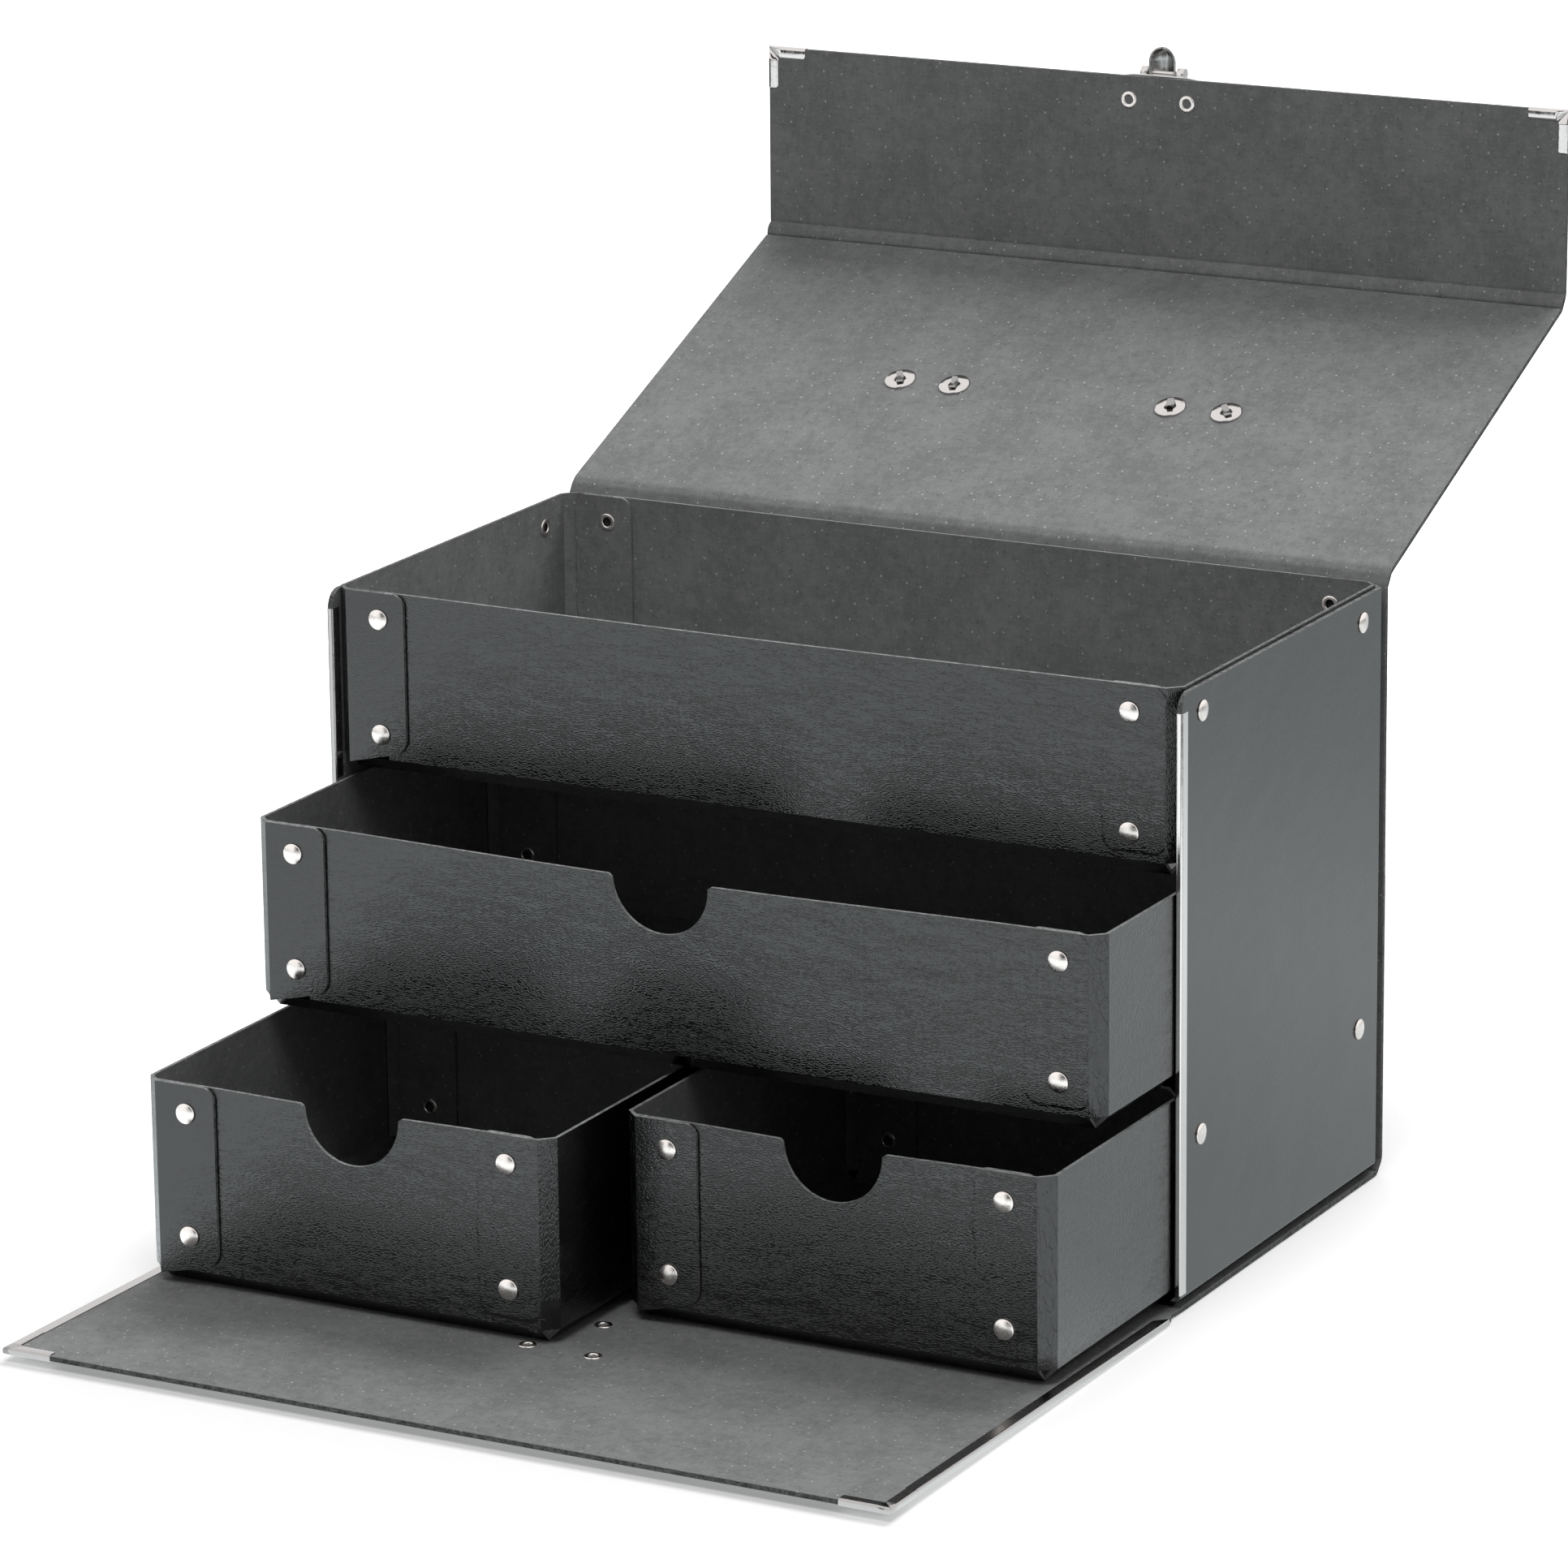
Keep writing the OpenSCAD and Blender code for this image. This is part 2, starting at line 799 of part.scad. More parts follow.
// Upright between the small drawers: two folded channels back to back
module drawer_divider()
    color(board_col)
        translate([0, panel_front + divider_inset, 0])
            along_y(flange_in - panel_front - 2 * divider_inset) {
                translate([-board_t / 2, board_t])
                    square([board_t, shelf_under - board_t]);
                for (z = [board_t, shelf_under - board_t])
                    translate([-divider_flange_w / 2, z])
                        square([divider_flange_w, board_t]);
            }

module wide_drawer()
    color(board_col)
        translate([0, closed_y - wide_pull, wide_z])
            difference() {
                folded_tray(wide_w, drawer_depth, wide_h,
                            wide_rivet_in, drawer_rivet_top, wide_rivet_low);
                finger_notch(wide_h);
            }

module wide_drawer_rivets()
    color(chrome_col)
        translate([0, closed_y - wide_pull, wide_z])
            drawer_rivets(wide_w, drawer_depth, wide_h,
                          wide_rivet_in, drawer_rivet_top, wide_rivet_low);

module small_drawer(notch_x)
    difference() {
        folded_tray(small_w, drawer_depth, small_h,
                    small_rivet_in, drawer_rivet_top, small_rivet_low);
        translate([notch_x, 0, 0])
            finger_notch(small_h);
    }

module small_rivets()
    drawer_rivets(small_w, drawer_depth, small_h,
                  small_rivet_in, drawer_rivet_top, small_rivet_low);

module at_left_drawer() translate([-small_x, closed_y - left_pull, small_z]) children();

module at_right_drawer() translate([small_x, closed_y - right_pull, small_z]) children();

module left_drawer() color(board_col) at_left_drawer() small_drawer(left_notch_shift);

module left_drawer_rivets() color(chrome_col) at_left_drawer() small_rivets();

module right_drawer() color(board_col) at_right_drawer() small_drawer(0);

module right_drawer_rivets() color(chrome_col) at_right_drawer() small_rivets();

// The pin of the latch, in the flap's frame
pin_y = flap_len + pin_past;
pin_z = -board_t / 2 - latch_base_t - pin_rise;
lug_in = lever_r + lug_inner_gap;

// Base of the latch on the outer face of the flap, with two lugs that carry the pin
module latch_base()
    color(chrome_col)
        at_flap()
            difference() {
                union() {
                    translate([0, 0, -board_t / 2 - latch_base_t])
                        linear_extrude(latch_base_t)
                            polygon([
                                [-latch_base_w / 2, flap_len - latch_plate_len],
                                [latch_base_w / 2, flap_len - latch_plate_len],
                                [latch_base_w / 2, flap_len],
                                [lug_in + lug_w, flap_len + latch_plate_past],
                                [-lug_in - lug_w, flap_len + latch_plate_past],
                                [-latch_base_w / 2, flap_len]
                            ]);
                    both_sides()
                        translate([lug_in, 0, 0])
                            rotate([90, 0, 90])
                                linear_extrude(lug_w) {
                                    translate([pin_y, pin_z])
                                        circle(lug_r);
                                    translate([pin_y - lug_r, pin_z])
                                        square([lug_r + latch_plate_past - pin_past, pin_rise]);
                                }
                }
                translate([-latch_base_w / 2, pin_y, pin_z])
                    rotate([0, 90, 0])
                        cylinder(d = latch_pin_d + 2 * pin_fit, h = latch_base_w);
                both_sides()
                    translate([latch_rivet_x, flap_len - latch_rivet_in, 0])
                        cylinder(d = shank_d + 2 * rivet_fit, h = 2 * board_t, center = true);
            }

module latch_pin()
    color(chrome_col)
        at_flap()
            translate([-lug_in - lug_w, pin_y, pin_z])
                rotate([0, 90, 0])
                    cylinder(d = latch_pin_d, h = 2 * (lug_in + lug_w));

// Lever: a trough with a rounded tip that hooks over the nib of the catch
module latch_lever() {
    trough_z = pin_z - trough_lip + lever_r;
    tip_y = flap_len + lever_reach;
    color(dark_metal_col)
        at_flap()
            difference() {
                intersection() {
                    translate([0, pin_y - lever_heel, trough_z])
                        rotate([-90, 0, 0])
                            difference() {
                                cylinder(r = lever_r, h = tip_y - pin_y + lever_heel);
                                translate([0, 0, -over])
                                    cylinder(r = lever_r - lever_wall, h = tip_y - pin_y);
                            }
                    translate([0, 0, pin_z - trough_lip])
                        linear_extrude(2 * trough_lip) {
                            translate([0, tip_y - lever_tip_r - (lever_r - lever_tip_r)])
                                circle(lever_r);
                            translate([-lever_r, pin_y - lever_heel])
                                square([2 * lever_r, tip_y - lever_r - pin_y + lever_heel]);
                        }
                }
                translate([-lever_r, pin_y, pin_z])
                    rotate([0, 90, 0])
                        cylinder(d = latch_pin_d + 2 * pin_fit, h = 2 * lever_r);
            }
}

module latch_rivets()
    color(chrome_col)
        at_flap()
            both_sides()
                translate([latch_rivet_x, flap_len - latch_rivet_in, -board_t / 2 - latch_base_t])
                    rotate([180, 0, 0])
                        rivet(board_t + latch_base_t, low_cap_h);

// Catch plate under the front panel, which is its outer face when closed
module catch_plate()
    color(chrome_col)
        at_front()
            translate([0, front_len - catch_start, -board_t / 2 - catch_t])
                difference() {
                    union() {
                        linear_extrude(catch_t)
                            catch_outline();
                        translate([-nib_w / 2, -nib_in - nib_len, -nib_h])
                            linear_extrude(nib_h)
                                round_rect([nib_w, nib_len], nib_len / 2.5);
                    }
                    for (p = catch_rivets_at)
                        translate([p.x, catch_start - p.y, catch_t])
                            rivet_hole(catch_t);
                }

// Shield shape with its wide end on y = 0 and its point towards -y
module catch_outline() {
    waist = catch_len / 2;
    r = catch_round_r;
    translate([-catch_w / 2, -waist])
        square([catch_w, waist]);
    polygon([[-catch_w / 2, -waist], [-r, -catch_len + r], [r, -catch_len + r], [catch_w / 2, -waist]]);
    translate([0, -catch_len + r])
        circle(r);
}

module catch_rivets()
    color(chrome_col)
        at_front()
            for (p = catch_rivets_at)
                translate([p.x, front_len - p.y, -board_t / 2 - catch_t])
                    rotate([180, 0, 0])
                        rivet(board_t + catch_t, low_cap_h);

// Places of the four handle posts along X
post_places = [
    for (s = [-1, 1])
        for (k = [-1, 1])
            s * handle_span / 2 + k * post_span / 2
];
bar_z = -board_t / 2 - bar_rise;

// A bent wire bracket: the bar stands off the lid and both posts go through it and are split
module bracket() {
    post_top = board_t / 2 + washer_t;
    color(chrome_col)
        at_lid()
            translate([handle_span / 2, handle_y, 0]) {
                for (s = [-1, 1])
                    translate([s * post_span / 2, 0, 0]) {
                        translate([0, 0, bar_z])
                            sphere(d = post_d);
                        translate([0, 0, bar_z])
                            cylinder(d = post_d, h = post_top - bar_z);
                        translate([-prong_w / 2, -prong_len, post_top])
                            cube([prong_w, 2 * prong_len, prong_t]);
                    }
                translate([-post_span / 2, 0, bar_z])
                    rotate([0, 90, 0])
                        cylinder(d = post_d, h = post_span);
            }
}

module handle_right_bracket() bracket();

module handle_left_bracket() mirror([1, 0, 0]) bracket();

module handle_washers()
    color(chrome_col)
        at_lid()
            for (x = post_places)
                translate([x, handle_y, board_t / 2])
                    difference() {
                        cylinder(d = washer_d, h = washer_t);
                        translate([0, 0, -over])
                            cylinder(d = post_d + 2 * rivet_fit, h = washer_t + 2 * over);
                    }

// Grip with an arm and an eye at each end, hanging straight down under the open lid
module handle_grip()
    color(rubber_col)
        at_lid()
            translate([0, handle_y, bar_z])
                rotate([-lid_a, 0, 0])
                    difference() {
                        union() {
                            both_sides()
                                translate([(handle_span - eye_w) / 2, 0, 0])
                                    rotate([90, 0, 90])
                                        linear_extrude(eye_w) {
                                            circle(eye_r);
                                            translate([-grip_arm_t / 2, -grip_drop])
                                                square([grip_arm_t, grip_drop]);
                                            translate([0, -grip_drop])
                                                circle(d = grip_d);
                                        }
                            translate([-handle_span / 2, 0, -grip_drop])
                                rotate([0, 90, 0])
                                    cylinder(d = grip_d, h = handle_span);
                            both_sides()
                                translate([(handle_span + eye_w) / 2, 0, -grip_drop])
                                    rotate([0, 90, 0])
                                        cylinder(d1 = grip_d, d2 = grip_d - 2 * grip_end_r, h = grip_end_r);
                        }
                        translate([-handle_span, 0, 0])
                            rotate([0, 90, 0])
                                cylinder(d = post_d + 2 * pin_fit, h = 2 * handle_span);
                    }

base_wrap();
front_fold_strip();
front_panel();
lid_fold_strip();
lid_panel();
flap_fold_strip();
flap_panel();
left_side_panel();
right_side_panel();
left_edge_trim();
right_edge_trim();
front_panel_left_trim();
front_panel_right_trim();
front_panel_left_corner();
front_panel_right_corner();
flap_left_corner();
flap_right_corner();
top_tray();
tray_front_rivets();
back_rivets();
side_rivets();
shelf();
drawer_divider();
wide_drawer();
wide_drawer_rivets();
left_drawer();
left_drawer_rivets();
right_drawer();
right_drawer_rivets();
latch_base();
latch_lever();
latch_pin();
latch_rivets();
catch_plate();
catch_rivets();
handle_grip();
handle_left_bracket();
handle_right_bracket();
handle_washers();
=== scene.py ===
"""Fibreboard tool box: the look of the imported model, in metres, in the frame of the CAD part."""
import math

import bmesh
import bpy
from mathutils import Matrix, Vector, noise

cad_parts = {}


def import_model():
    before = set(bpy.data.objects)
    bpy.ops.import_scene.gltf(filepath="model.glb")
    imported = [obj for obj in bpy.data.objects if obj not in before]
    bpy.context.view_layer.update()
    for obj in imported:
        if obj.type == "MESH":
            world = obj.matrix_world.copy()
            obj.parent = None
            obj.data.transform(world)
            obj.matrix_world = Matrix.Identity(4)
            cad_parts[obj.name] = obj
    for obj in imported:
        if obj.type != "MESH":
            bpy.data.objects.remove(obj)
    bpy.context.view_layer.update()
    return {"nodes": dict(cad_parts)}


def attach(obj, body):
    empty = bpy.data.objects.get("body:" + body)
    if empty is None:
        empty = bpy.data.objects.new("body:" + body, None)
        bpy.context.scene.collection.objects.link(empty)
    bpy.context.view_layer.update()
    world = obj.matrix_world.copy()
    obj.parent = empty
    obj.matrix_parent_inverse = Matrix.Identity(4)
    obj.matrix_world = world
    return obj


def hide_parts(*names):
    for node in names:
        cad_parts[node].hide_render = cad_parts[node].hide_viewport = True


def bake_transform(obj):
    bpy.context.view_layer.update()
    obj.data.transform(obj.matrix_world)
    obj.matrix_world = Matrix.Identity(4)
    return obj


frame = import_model()
MM = 0.001

# Camera: azimuth, elevation, roll, place and lens, solved from the box's straight edges
AZ, EL, ROLL = math.radians(28.33), math.radians(15.47), math.radians(-0.65)
CAMERA_AT = Vector((1.27683, -2.42814, 0.91798))
SENSOR_MM, LENS_MM = 36, 170.33


def camera():
    fwd = Vector((-math.sin(AZ) * math.cos(EL), math.cos(AZ) * math.cos(EL), -math.sin(EL)))
    right = Vector((math.cos(AZ), math.sin(AZ), 0))
    up = right.cross(fwd)
    x = right * math.cos(ROLL) + up * math.sin(ROLL)
    y = -right * math.sin(ROLL) + up * math.cos(ROLL)
    data = bpy.data.cameras.new("camera")
    data.sensor_width = SENSOR_MM
    data.lens = LENS_MM
    data.clip_start, data.clip_end = 0.1, 50
    cam = bpy.data.objects.new("camera", data)
    bpy.context.collection.objects.link(cam)
    m = Matrix((x, y, -fwd)).transposed().to_4x4()
    m.translation = CAMERA_AT
    cam.matrix_world = m
    bpy.context.scene.camera = cam


camera()


# Materials

class Net:
    """A material under construction."""

    def __init__(self, name):
        self.mat = bpy.data.materials.new(name)
        self.mat.use_nodes = True
        self.tree = self.mat.node_tree
        self.tree.nodes.clear()
        self.out = self.add("OutputMaterial")
        self.bsdf = self.add("BsdfPrincipled")
        self.tree.links.new(self.bsdf.outputs[0], self.out.inputs[0])

    def add(self, kind, ins=None, **props):
        n = self.tree.nodes.new("ShaderNode" + kind)
        for k, v in props.items():
            setattr(n, k, v)
        for k, v in (ins or {}).items():
            self.put(n.inputs[k], v)
        return n

    def put(self, socket, v):
        if isinstance(v, bpy.types.NodeSocket):
            self.tree.links.new(v, socket)
        else:
            socket.default_value = v

    def shade(self, **ins):
        for k, v in ins.items():
            self.put(self.bsdf.inputs[k.replace("_", " ")], v)

    def math(self, op, a, b=0.0, c=0.0, clamp=False):
        n = self.add("Math", {0: a, 1: b, 2: c}, operation=op, use_clamp=clamp)
        return n.outputs[0]

    def vector(self, op, a, b):
        return self.add("VectorMath", {0: a, 1: b}, operation=op).outputs[0]

    def coords(self, uv=True):
        """Place on the surface in millimetres, from the UV map in metres or the object's axes."""
        self.dims = "2D" if uv else "3D"
        if uv:
            v = self.add("UVMap").outputs[0]
        else:
            v = self.add("TexCoord").outputs["Object"]
        return self.vector("MULTIPLY", v, (1000, 1000, 1000))

    def stretch(self, v, x, y=None):
        """Finer pattern for larger numbers: x also counts for the third axis."""
        return self.vector("MULTIPLY", v, (x, x if y is None else y, x))

    def moved(self, v, x, y):
        return self.vector("ADD", v, (x, y, 0.0))

    def noise(self, v, detail=2.0, rough=0.5, distortion=0.0):
        n = self.add("TexNoise", {"Vector": v, "Scale": 1.0, "Detail": detail, "Roughness": rough,
                                  "Distortion": distortion}, noise_dimensions=self.dims)
        return n.outputs["Fac"]

    def voronoi(self, v, feature="F1"):
        n = self.add("TexVoronoi", {"Vector": v, "Scale": 1.0, "Randomness": 1.0},
                     feature=feature, voronoi_dimensions=self.dims)
        return n.outputs["Distance"]

    def remap(self, v, a, b, c=0.0, d=1.0, smooth=False):
        n = self.add("MapRange", {0: v, 1: a, 2: b, 3: c, 4: d})
        if smooth:
            n.interpolation_type = "SMOOTHSTEP"
        return n.outputs[0]

    def mix(self, fac, a, b):
        """Colour a where fac is 0, colour b where it is 1."""
        n = self.add("Mix", data_type="RGBA")
        self.put(n.inputs["Factor"], fac)
        self.put(n.inputs[6], a)
        self.put(n.inputs[7], b)
        return n.outputs[2]

    def total(self, *terms):
        """Sum of (value, weight) pairs."""
        out = None
        for v, w in terms:
            out = self.math("MULTIPLY_ADD", v, w, 0.0 if out is None else out)
        return out

    def bump(self, *terms):
        """Relief from (value, height in millimetres) pairs."""
        return self.add("Bump", {"Height": self.total(*terms), "Distance": 0.001}).outputs[0]


def grey(v):
    """Linear colour of a slightly cool grey written 0 to 255."""
    c = v / 255
    lin = c / 12.92 if c <= 0.04045 else ((c + 0.055) / 1.055) ** 2.4
    return (lin * 0.985, lin, lin, 1)


def tab_mask(m, p, sway, tab):
    """1 inside a rounded rectangle, 0 outside. tab is its middle, half size and corner radius."""
    cx, cy, hx, hy, r = tab
    sep = m.add("SeparateXYZ", {0: m.moved(p, -cx, -cy)})
    qx = m.math("SUBTRACT", m.math("ABSOLUTE", sep.outputs[0]), hx - r)
    qy = m.math("SUBTRACT", m.math("ABSOLUTE", sep.outputs[1]), hy - r)
    ox, oy = m.math("MAXIMUM", qx, 0.0), m.math("MAXIMUM", qy, 0.0)
    d = m.math("SQRT", m.math("ADD", m.math("MULTIPLY", ox, ox), m.math("MULTIPLY", oy, oy)))
    d = m.math("ADD", d, m.math("MINIMUM", m.math("MAXIMUM", qx, qy), 0.0))
    wobble = m.math("MULTIPLY", m.math("SUBTRACT", sway, 0.5), 2.4)
    d = m.math("ADD", m.math("SUBTRACT", d, r), wobble)
    return m.remap(d, -0.8, 0.6, 1.0, 0.0, True)


def cover(name, tab=None, crack=0.0, base=14, grain=1.0, upright=False):
    """Black laminated cover with a pressed leather grain, whose ridges lie along the board, or
    upright. tab is the outline in millimetres of a tab pressed through from behind, crack the
    depth of cracks along the folds, and grain the depth of the grain."""
    m = Net(name)
    p = m.coords()
    if upright:
        p = m.add("VectorRotate", {"Vector": p, "Angle": math.radians(90)},
                  rotation_type="Z_AXIS").outputs[0]
    sway = m.noise(m.stretch(p, 0.05, 0.09))
    offset = m.add("CombineXYZ", {0: 0.0, 1: m.math("MULTIPLY", sway, 4.0), 2: 0.0}).outputs[0]
    pw = m.vector("ADD", p, offset)
    ridges = m.noise(m.stretch(pw, 0.18, 0.56), 3, 0.6, 0.35)
    ridges = m.math("ABSOLUTE", m.math("SUBTRACT", ridges, 0.5))
    ridges = m.remap(ridges, 0.0, 0.075, 0.0, 1.0, True)
    cells = m.voronoi(m.stretch(pw, 0.38, 1.15), "DISTANCE_TO_EDGE")
    cells = m.remap(cells, 0.0, 0.25, 0.0, 1.0, True)
    fine = m.noise(m.stretch(p, 1.3, 2.2), 1)
    cloud = m.noise(m.stretch(p, 0.022, 0.034), 2)
    relief = [(ridges, 0.03 * grain), (cells, 0.032 * grain), (fine, 0.02 * grain), (cloud, 0.2)]
    colour = m.mix(m.remap(cloud, 0.35, 0.7), grey(base - 2), grey(base + 4))
    if tab:
        inside = tab_mask(m, p, sway, tab)
        pull = m.noise(m.stretch(p, 0.75, 0.1), 2)
        relief += [(inside, 0.16), (m.math("MULTIPLY", pull, inside), 0.07)]
    if crack:
        line = m.voronoi(m.stretch(pw, 0.16, 0.4), "DISTANCE_TO_EDGE")
        line = m.remap(line, 0.0, 0.035, 1.0, 0.0, True)
        gate = m.remap(m.noise(m.stretch(p, 0.12), 1), 0.4, 0.55, 0.0, 1.0, True)
        line = m.math("MULTIPLY", line, gate)
        relief.append((line, -0.12 * crack))
        # The crack lines are also coloured darker than the cover: painted shade in them
        colour = m.mix(m.math("MULTIPLY", line, 0.7), colour, grey(10))
    rough = m.remap(m.noise(m.stretch(p, 0.05), 2), 0.3, 0.7, 0.12, 0.165)
    m.shade(Base_Color=colour, Roughness=rough, IOR=1.65, Normal=m.bump(*relief))
    return m.mat


def liner(name, shade=130):
    """Grey pressed fibreboard with fibres, clouds and pale flecks."""
    m = Net(name)
    p = m.coords()
    cloud = m.noise(m.stretch(p, 0.035), 3, 0.55)
    mottle = m.noise(m.stretch(p, 0.2), 3, 0.6)
    fibre = m.total((m.noise(m.stretch(p, 0.18, 0.85), 2, 0.6, 0.8), 0.5),
                    (m.noise(m.moved(m.stretch(p, 0.85, 0.2), 31.0, 17.0), 2, 0.6, 0.8), 0.5))
    tone = m.remap(m.total((cloud, 0.3), (mottle, 0.3), (fibre, 0.4)), 0.41, 0.59)
    colour = m.mix(tone, grey(shade - 9), grey(shade + 9))
    size = m.math("MAXIMUM", m.remap(m.noise(m.stretch(p, 0.3), 1), 0.35, 0.65, 0.15, 1.5), 0.05)
    fleck = m.remap(m.math("DIVIDE", m.voronoi(m.stretch(p, 0.14)), size), 0.022, 0.055, 1.0, 0.0)
    small = m.remap(m.voronoi(m.moved(m.stretch(p, 0.3), 3.1, 8.7)), 0.035, 0.08, 0.45, 0.0)
    colour = m.mix(m.math("MAXIMUM", fleck, small), colour, grey(min(shade + 70, 235)))
    dark = m.remap(m.voronoi(m.moved(m.stretch(p, 0.1, 0.14), 7.3, 2.1)), 0.03, 0.08, 0.5, 0.0)
    colour = m.mix(dark, colour, grey(max(shade - 40, 4)))
    relief = m.bump((fibre, 0.06), (mottle, 0.05))
    m.shade(Base_Color=colour, Roughness=0.75, IOR=1.4, Normal=relief)
    return m.mat


def raw_edge(name, shade):
    """Cut edge of the board: pale, layered and a little torn."""
    m = Net(name)
    p = m.coords()
    run = m.noise(m.stretch(p, 0.3), 3, 0.65)
    layers = m.noise(m.stretch(p, 0.9, 1.1), 2, 0.6)
    tone = m.remap(m.total((run, 0.55), (layers, 0.45)), 0.36, 0.62)
    colour = m.mix(tone, grey(shade - 42), grey(shade + 22))
    relief = m.bump((run, 0.15), (layers, 0.1))
    m.shade(Base_Color=colour, Roughness=0.85, IOR=1.35, Normal=relief)
    return m.mat


def metal(name, tone, rough=0.1, marks=1.0, cast=(1.04, 1.0, 0.985)):
    """Plated steel with faint marks. cast scales red, green and blue."""
    m = Net(name)
    p = m.coords(False)
    cloud = m.noise(m.stretch(p, 0.2), 2, 0.6)
    fine = m.noise(m.stretch(p, 1.6), 1)
    dark, light = [(*(tone * k * c for c in cast), 1) for k in (0.93, 1.05)]
    r = m.remap(m.total((cloud, 0.5), (fine, 0.5)), 0.3, 0.7, rough * 0.6, rough * 1.5)
    m.shade(Base_Color=m.mix(cloud, dark, light), Metallic=1.0, Roughness=r,
            Normal=m.bump((cloud, 0.03 * marks), (fine, 0.003 * marks)))
    return m.mat


def moulded(name):
    """Black moulded rubber with a fine spark-eroded surface."""
    m = Net(name)
    p = m.coords(False)
    fine = m.noise(m.stretch(p, 2.4), 2, 0.6)
    cloud = m.noise(m.stretch(p, 0.08), 2)
    m.shade(Base_Color=m.mix(cloud, grey(24), grey(31)), IOR=1.49,
            Roughness=m.remap(cloud, 0.3, 0.7, 0.42, 0.52), Normal=m.bump((fine, 0.05)))
    return m.mat


def bore_shade(name):
    """Painted shade for the inside of a rolled rivet end: a near-black surface down and across its
    bore.
    """
    m = Net(name)
    p = m.coords(False)
    m.shade(Base_Color=m.mix(m.noise(m.stretch(p, 0.8)), grey(7), grey(16)), Roughness=0.75)
    return m.mat


COVER = cover("cover")
COVER_PLAIN = cover("cover_smooth", grain=0.35)
FACET = cover("cover_folded", crack=1.6, base=19, grain=1.8, upright=True)
LINER = liner("liner")
# Painted shade: a near-black copy of the liner for the inner fold lines beside the corner facets
LINER_CREASE_SHADE = liner("liner_crease_shade", shade=22)
EDGE = raw_edge("raw_edge", shade=142)
# Painted shade: a darker copy of the same cut edge, for edges that lie in shade
EDGE_SHADED = raw_edge("raw_edge_shaded", shade=112)
CHROME = metal("chrome", 0.54, cast=(1.05, 1.0, 0.98))
TRIM = metal("trim", 0.62, 0.14)
# Painted shade: a darker, rougher copy of the trim metal, for trims and front corners that look
# darker
TRIM_SHADED = metal("trim_shaded", 0.38, 0.2)
NICKEL = metal("nickel", 0.74, 0.27, marks=1.6, cast=(1.065, 1.0, 0.96))
STEEL = metal("dark_steel", 0.33, 0.22, marks=0.3, cast=(1.015, 1.0, 0.985))
GRIP = moulded("grip")
BORE_SHADE = bore_shade("rivet_bore_shade")


# Mesh helpers

def new_object(name, bm, mats, smooth=True):
    me = bpy.data.meshes.new(name)
    bm.to_mesh(me)
    bm.free()
    for m in mats:
        me.materials.append(m)
    if smooth:
        for f in me.polygons:
            f.use_smooth = True
    ob = bpy.data.objects.new(name, me)
    bpy.context.collection.objects.link(ob)
    return ob


def weighted(ob):
    mod = ob.modifiers.new("normals", "WEIGHTED_NORMAL")
    mod.weight = 60
    mod.keep_sharp = False


def soften(ob, name, width, segments, angle):
    """Round the edges sharper than angle degrees. width is in millimetres."""
    mod = ob.modifiers.new(name, "BEVEL")
    mod.width = width * MM
    mod.segments = segments
    mod.limit_method = "ANGLE"
    mod.angle_limit = math.radians(angle)
    return mod


def from_node(node):
    """A working copy of a CAD node's mesh: welded, with its flat faces whole."""
    bm = bmesh.new()
    bm.from_mesh(frame["nodes"][node].data)
    bmesh.ops.remove_doubles(bm, verts=bm.verts, dist=2e-6)
    bmesh.ops.dissolve_limit(bm, angle_limit=math.radians(0.6), verts=bm.verts, edges=bm.edges)
    bmesh.ops.recalc_face_normals(bm, faces=bm.faces)
    return bm


def bevel_by_angle(bm, low, high, offset, segments):
    """Round the edges whose faces meet between low and high degrees. offset is in millimetres."""
    edges = [e for e in bm.edges if len(e.link_faces) == 2
             and math.radians(low) < e.calc_face_angle(0) <= math.radians(high)]
    bmesh.ops.bevel(bm, geom=edges, offset=offset * MM, segments=segments, profile=0.5,
                    affect="EDGES", clamp_overlap=True)


def box_uv(bm):
    """UV map in metres from each face's own direction."""
    layer = bm.loops.layers.uv.verify()
    up = Vector((0, 0, 1))
    for f in bm.faces:
        n = f.normal
        if n.length < 0.5:
            continue
        t = Vector((1, 0, 0)) if abs(n.z) > 0.95 else up.cross(n).normalized()
        b = n.cross(t)
        for loop in f.loops:
            co = loop.vert.co
            loop[layer].uv = (co.dot(t), co.dot(b))


def finish_piece(name, bm, mats, pick, body, node, bend=None):
    """Turn a bmesh into a piece: a material per face from pick, riding on body, for node."""
    box_uv(bm)
    for f in bm.faces:
        f.material_index = pick(f)
    if bend:
        bend(bm)
    ob = new_object(name, bm, mats)
    weighted(ob)
    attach(ob, body)
    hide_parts(node)


# The wrap board: one folded sheet, made in pieces. Places on its
# middle line are (y, z) in millimetres, directions are degrees from +Y towards +Z.

def polar(p, a, d):
    a = math.radians(a)
    return (p[0] + d * math.cos(a), p[1] + d * math.sin(a))


FRONT_1, FRONT_2 = (-89.0, 1.0), (-95.4965, 1.3405)
REAR_1, REAR_2 = (89.0, 1.0), (93.6, 5.6)
LID_1, LID_2 = (93.6, 234.4), (97.2000, 239.8185)
FLAP_1, FLAP_2 = (263.6885, 309.8038), (267.3169, 315.2033)
FRONT_WAY, LID_WAY, FLAP_WAY = 180 - 0.7, 22.8, 89.4
FRONT_LEN, FLAP_LEN = 230.0, 74.0
FRONT_END = polar(FRONT_2, FRONT_WAY, FRONT_LEN)
FLAP_END = polar(FLAP_2, FLAP_WAY, FLAP_LEN)
HALF = 1.0
WRAP_HALF_W = 179.2
FRONT_HALF_W = 181.2
NARROWS_AT, NARROWS_OVER = 224.0, 4.0
BEND_REACH = 2.4
RIDGE_H, RIDGE_W = 0.75, 2.3


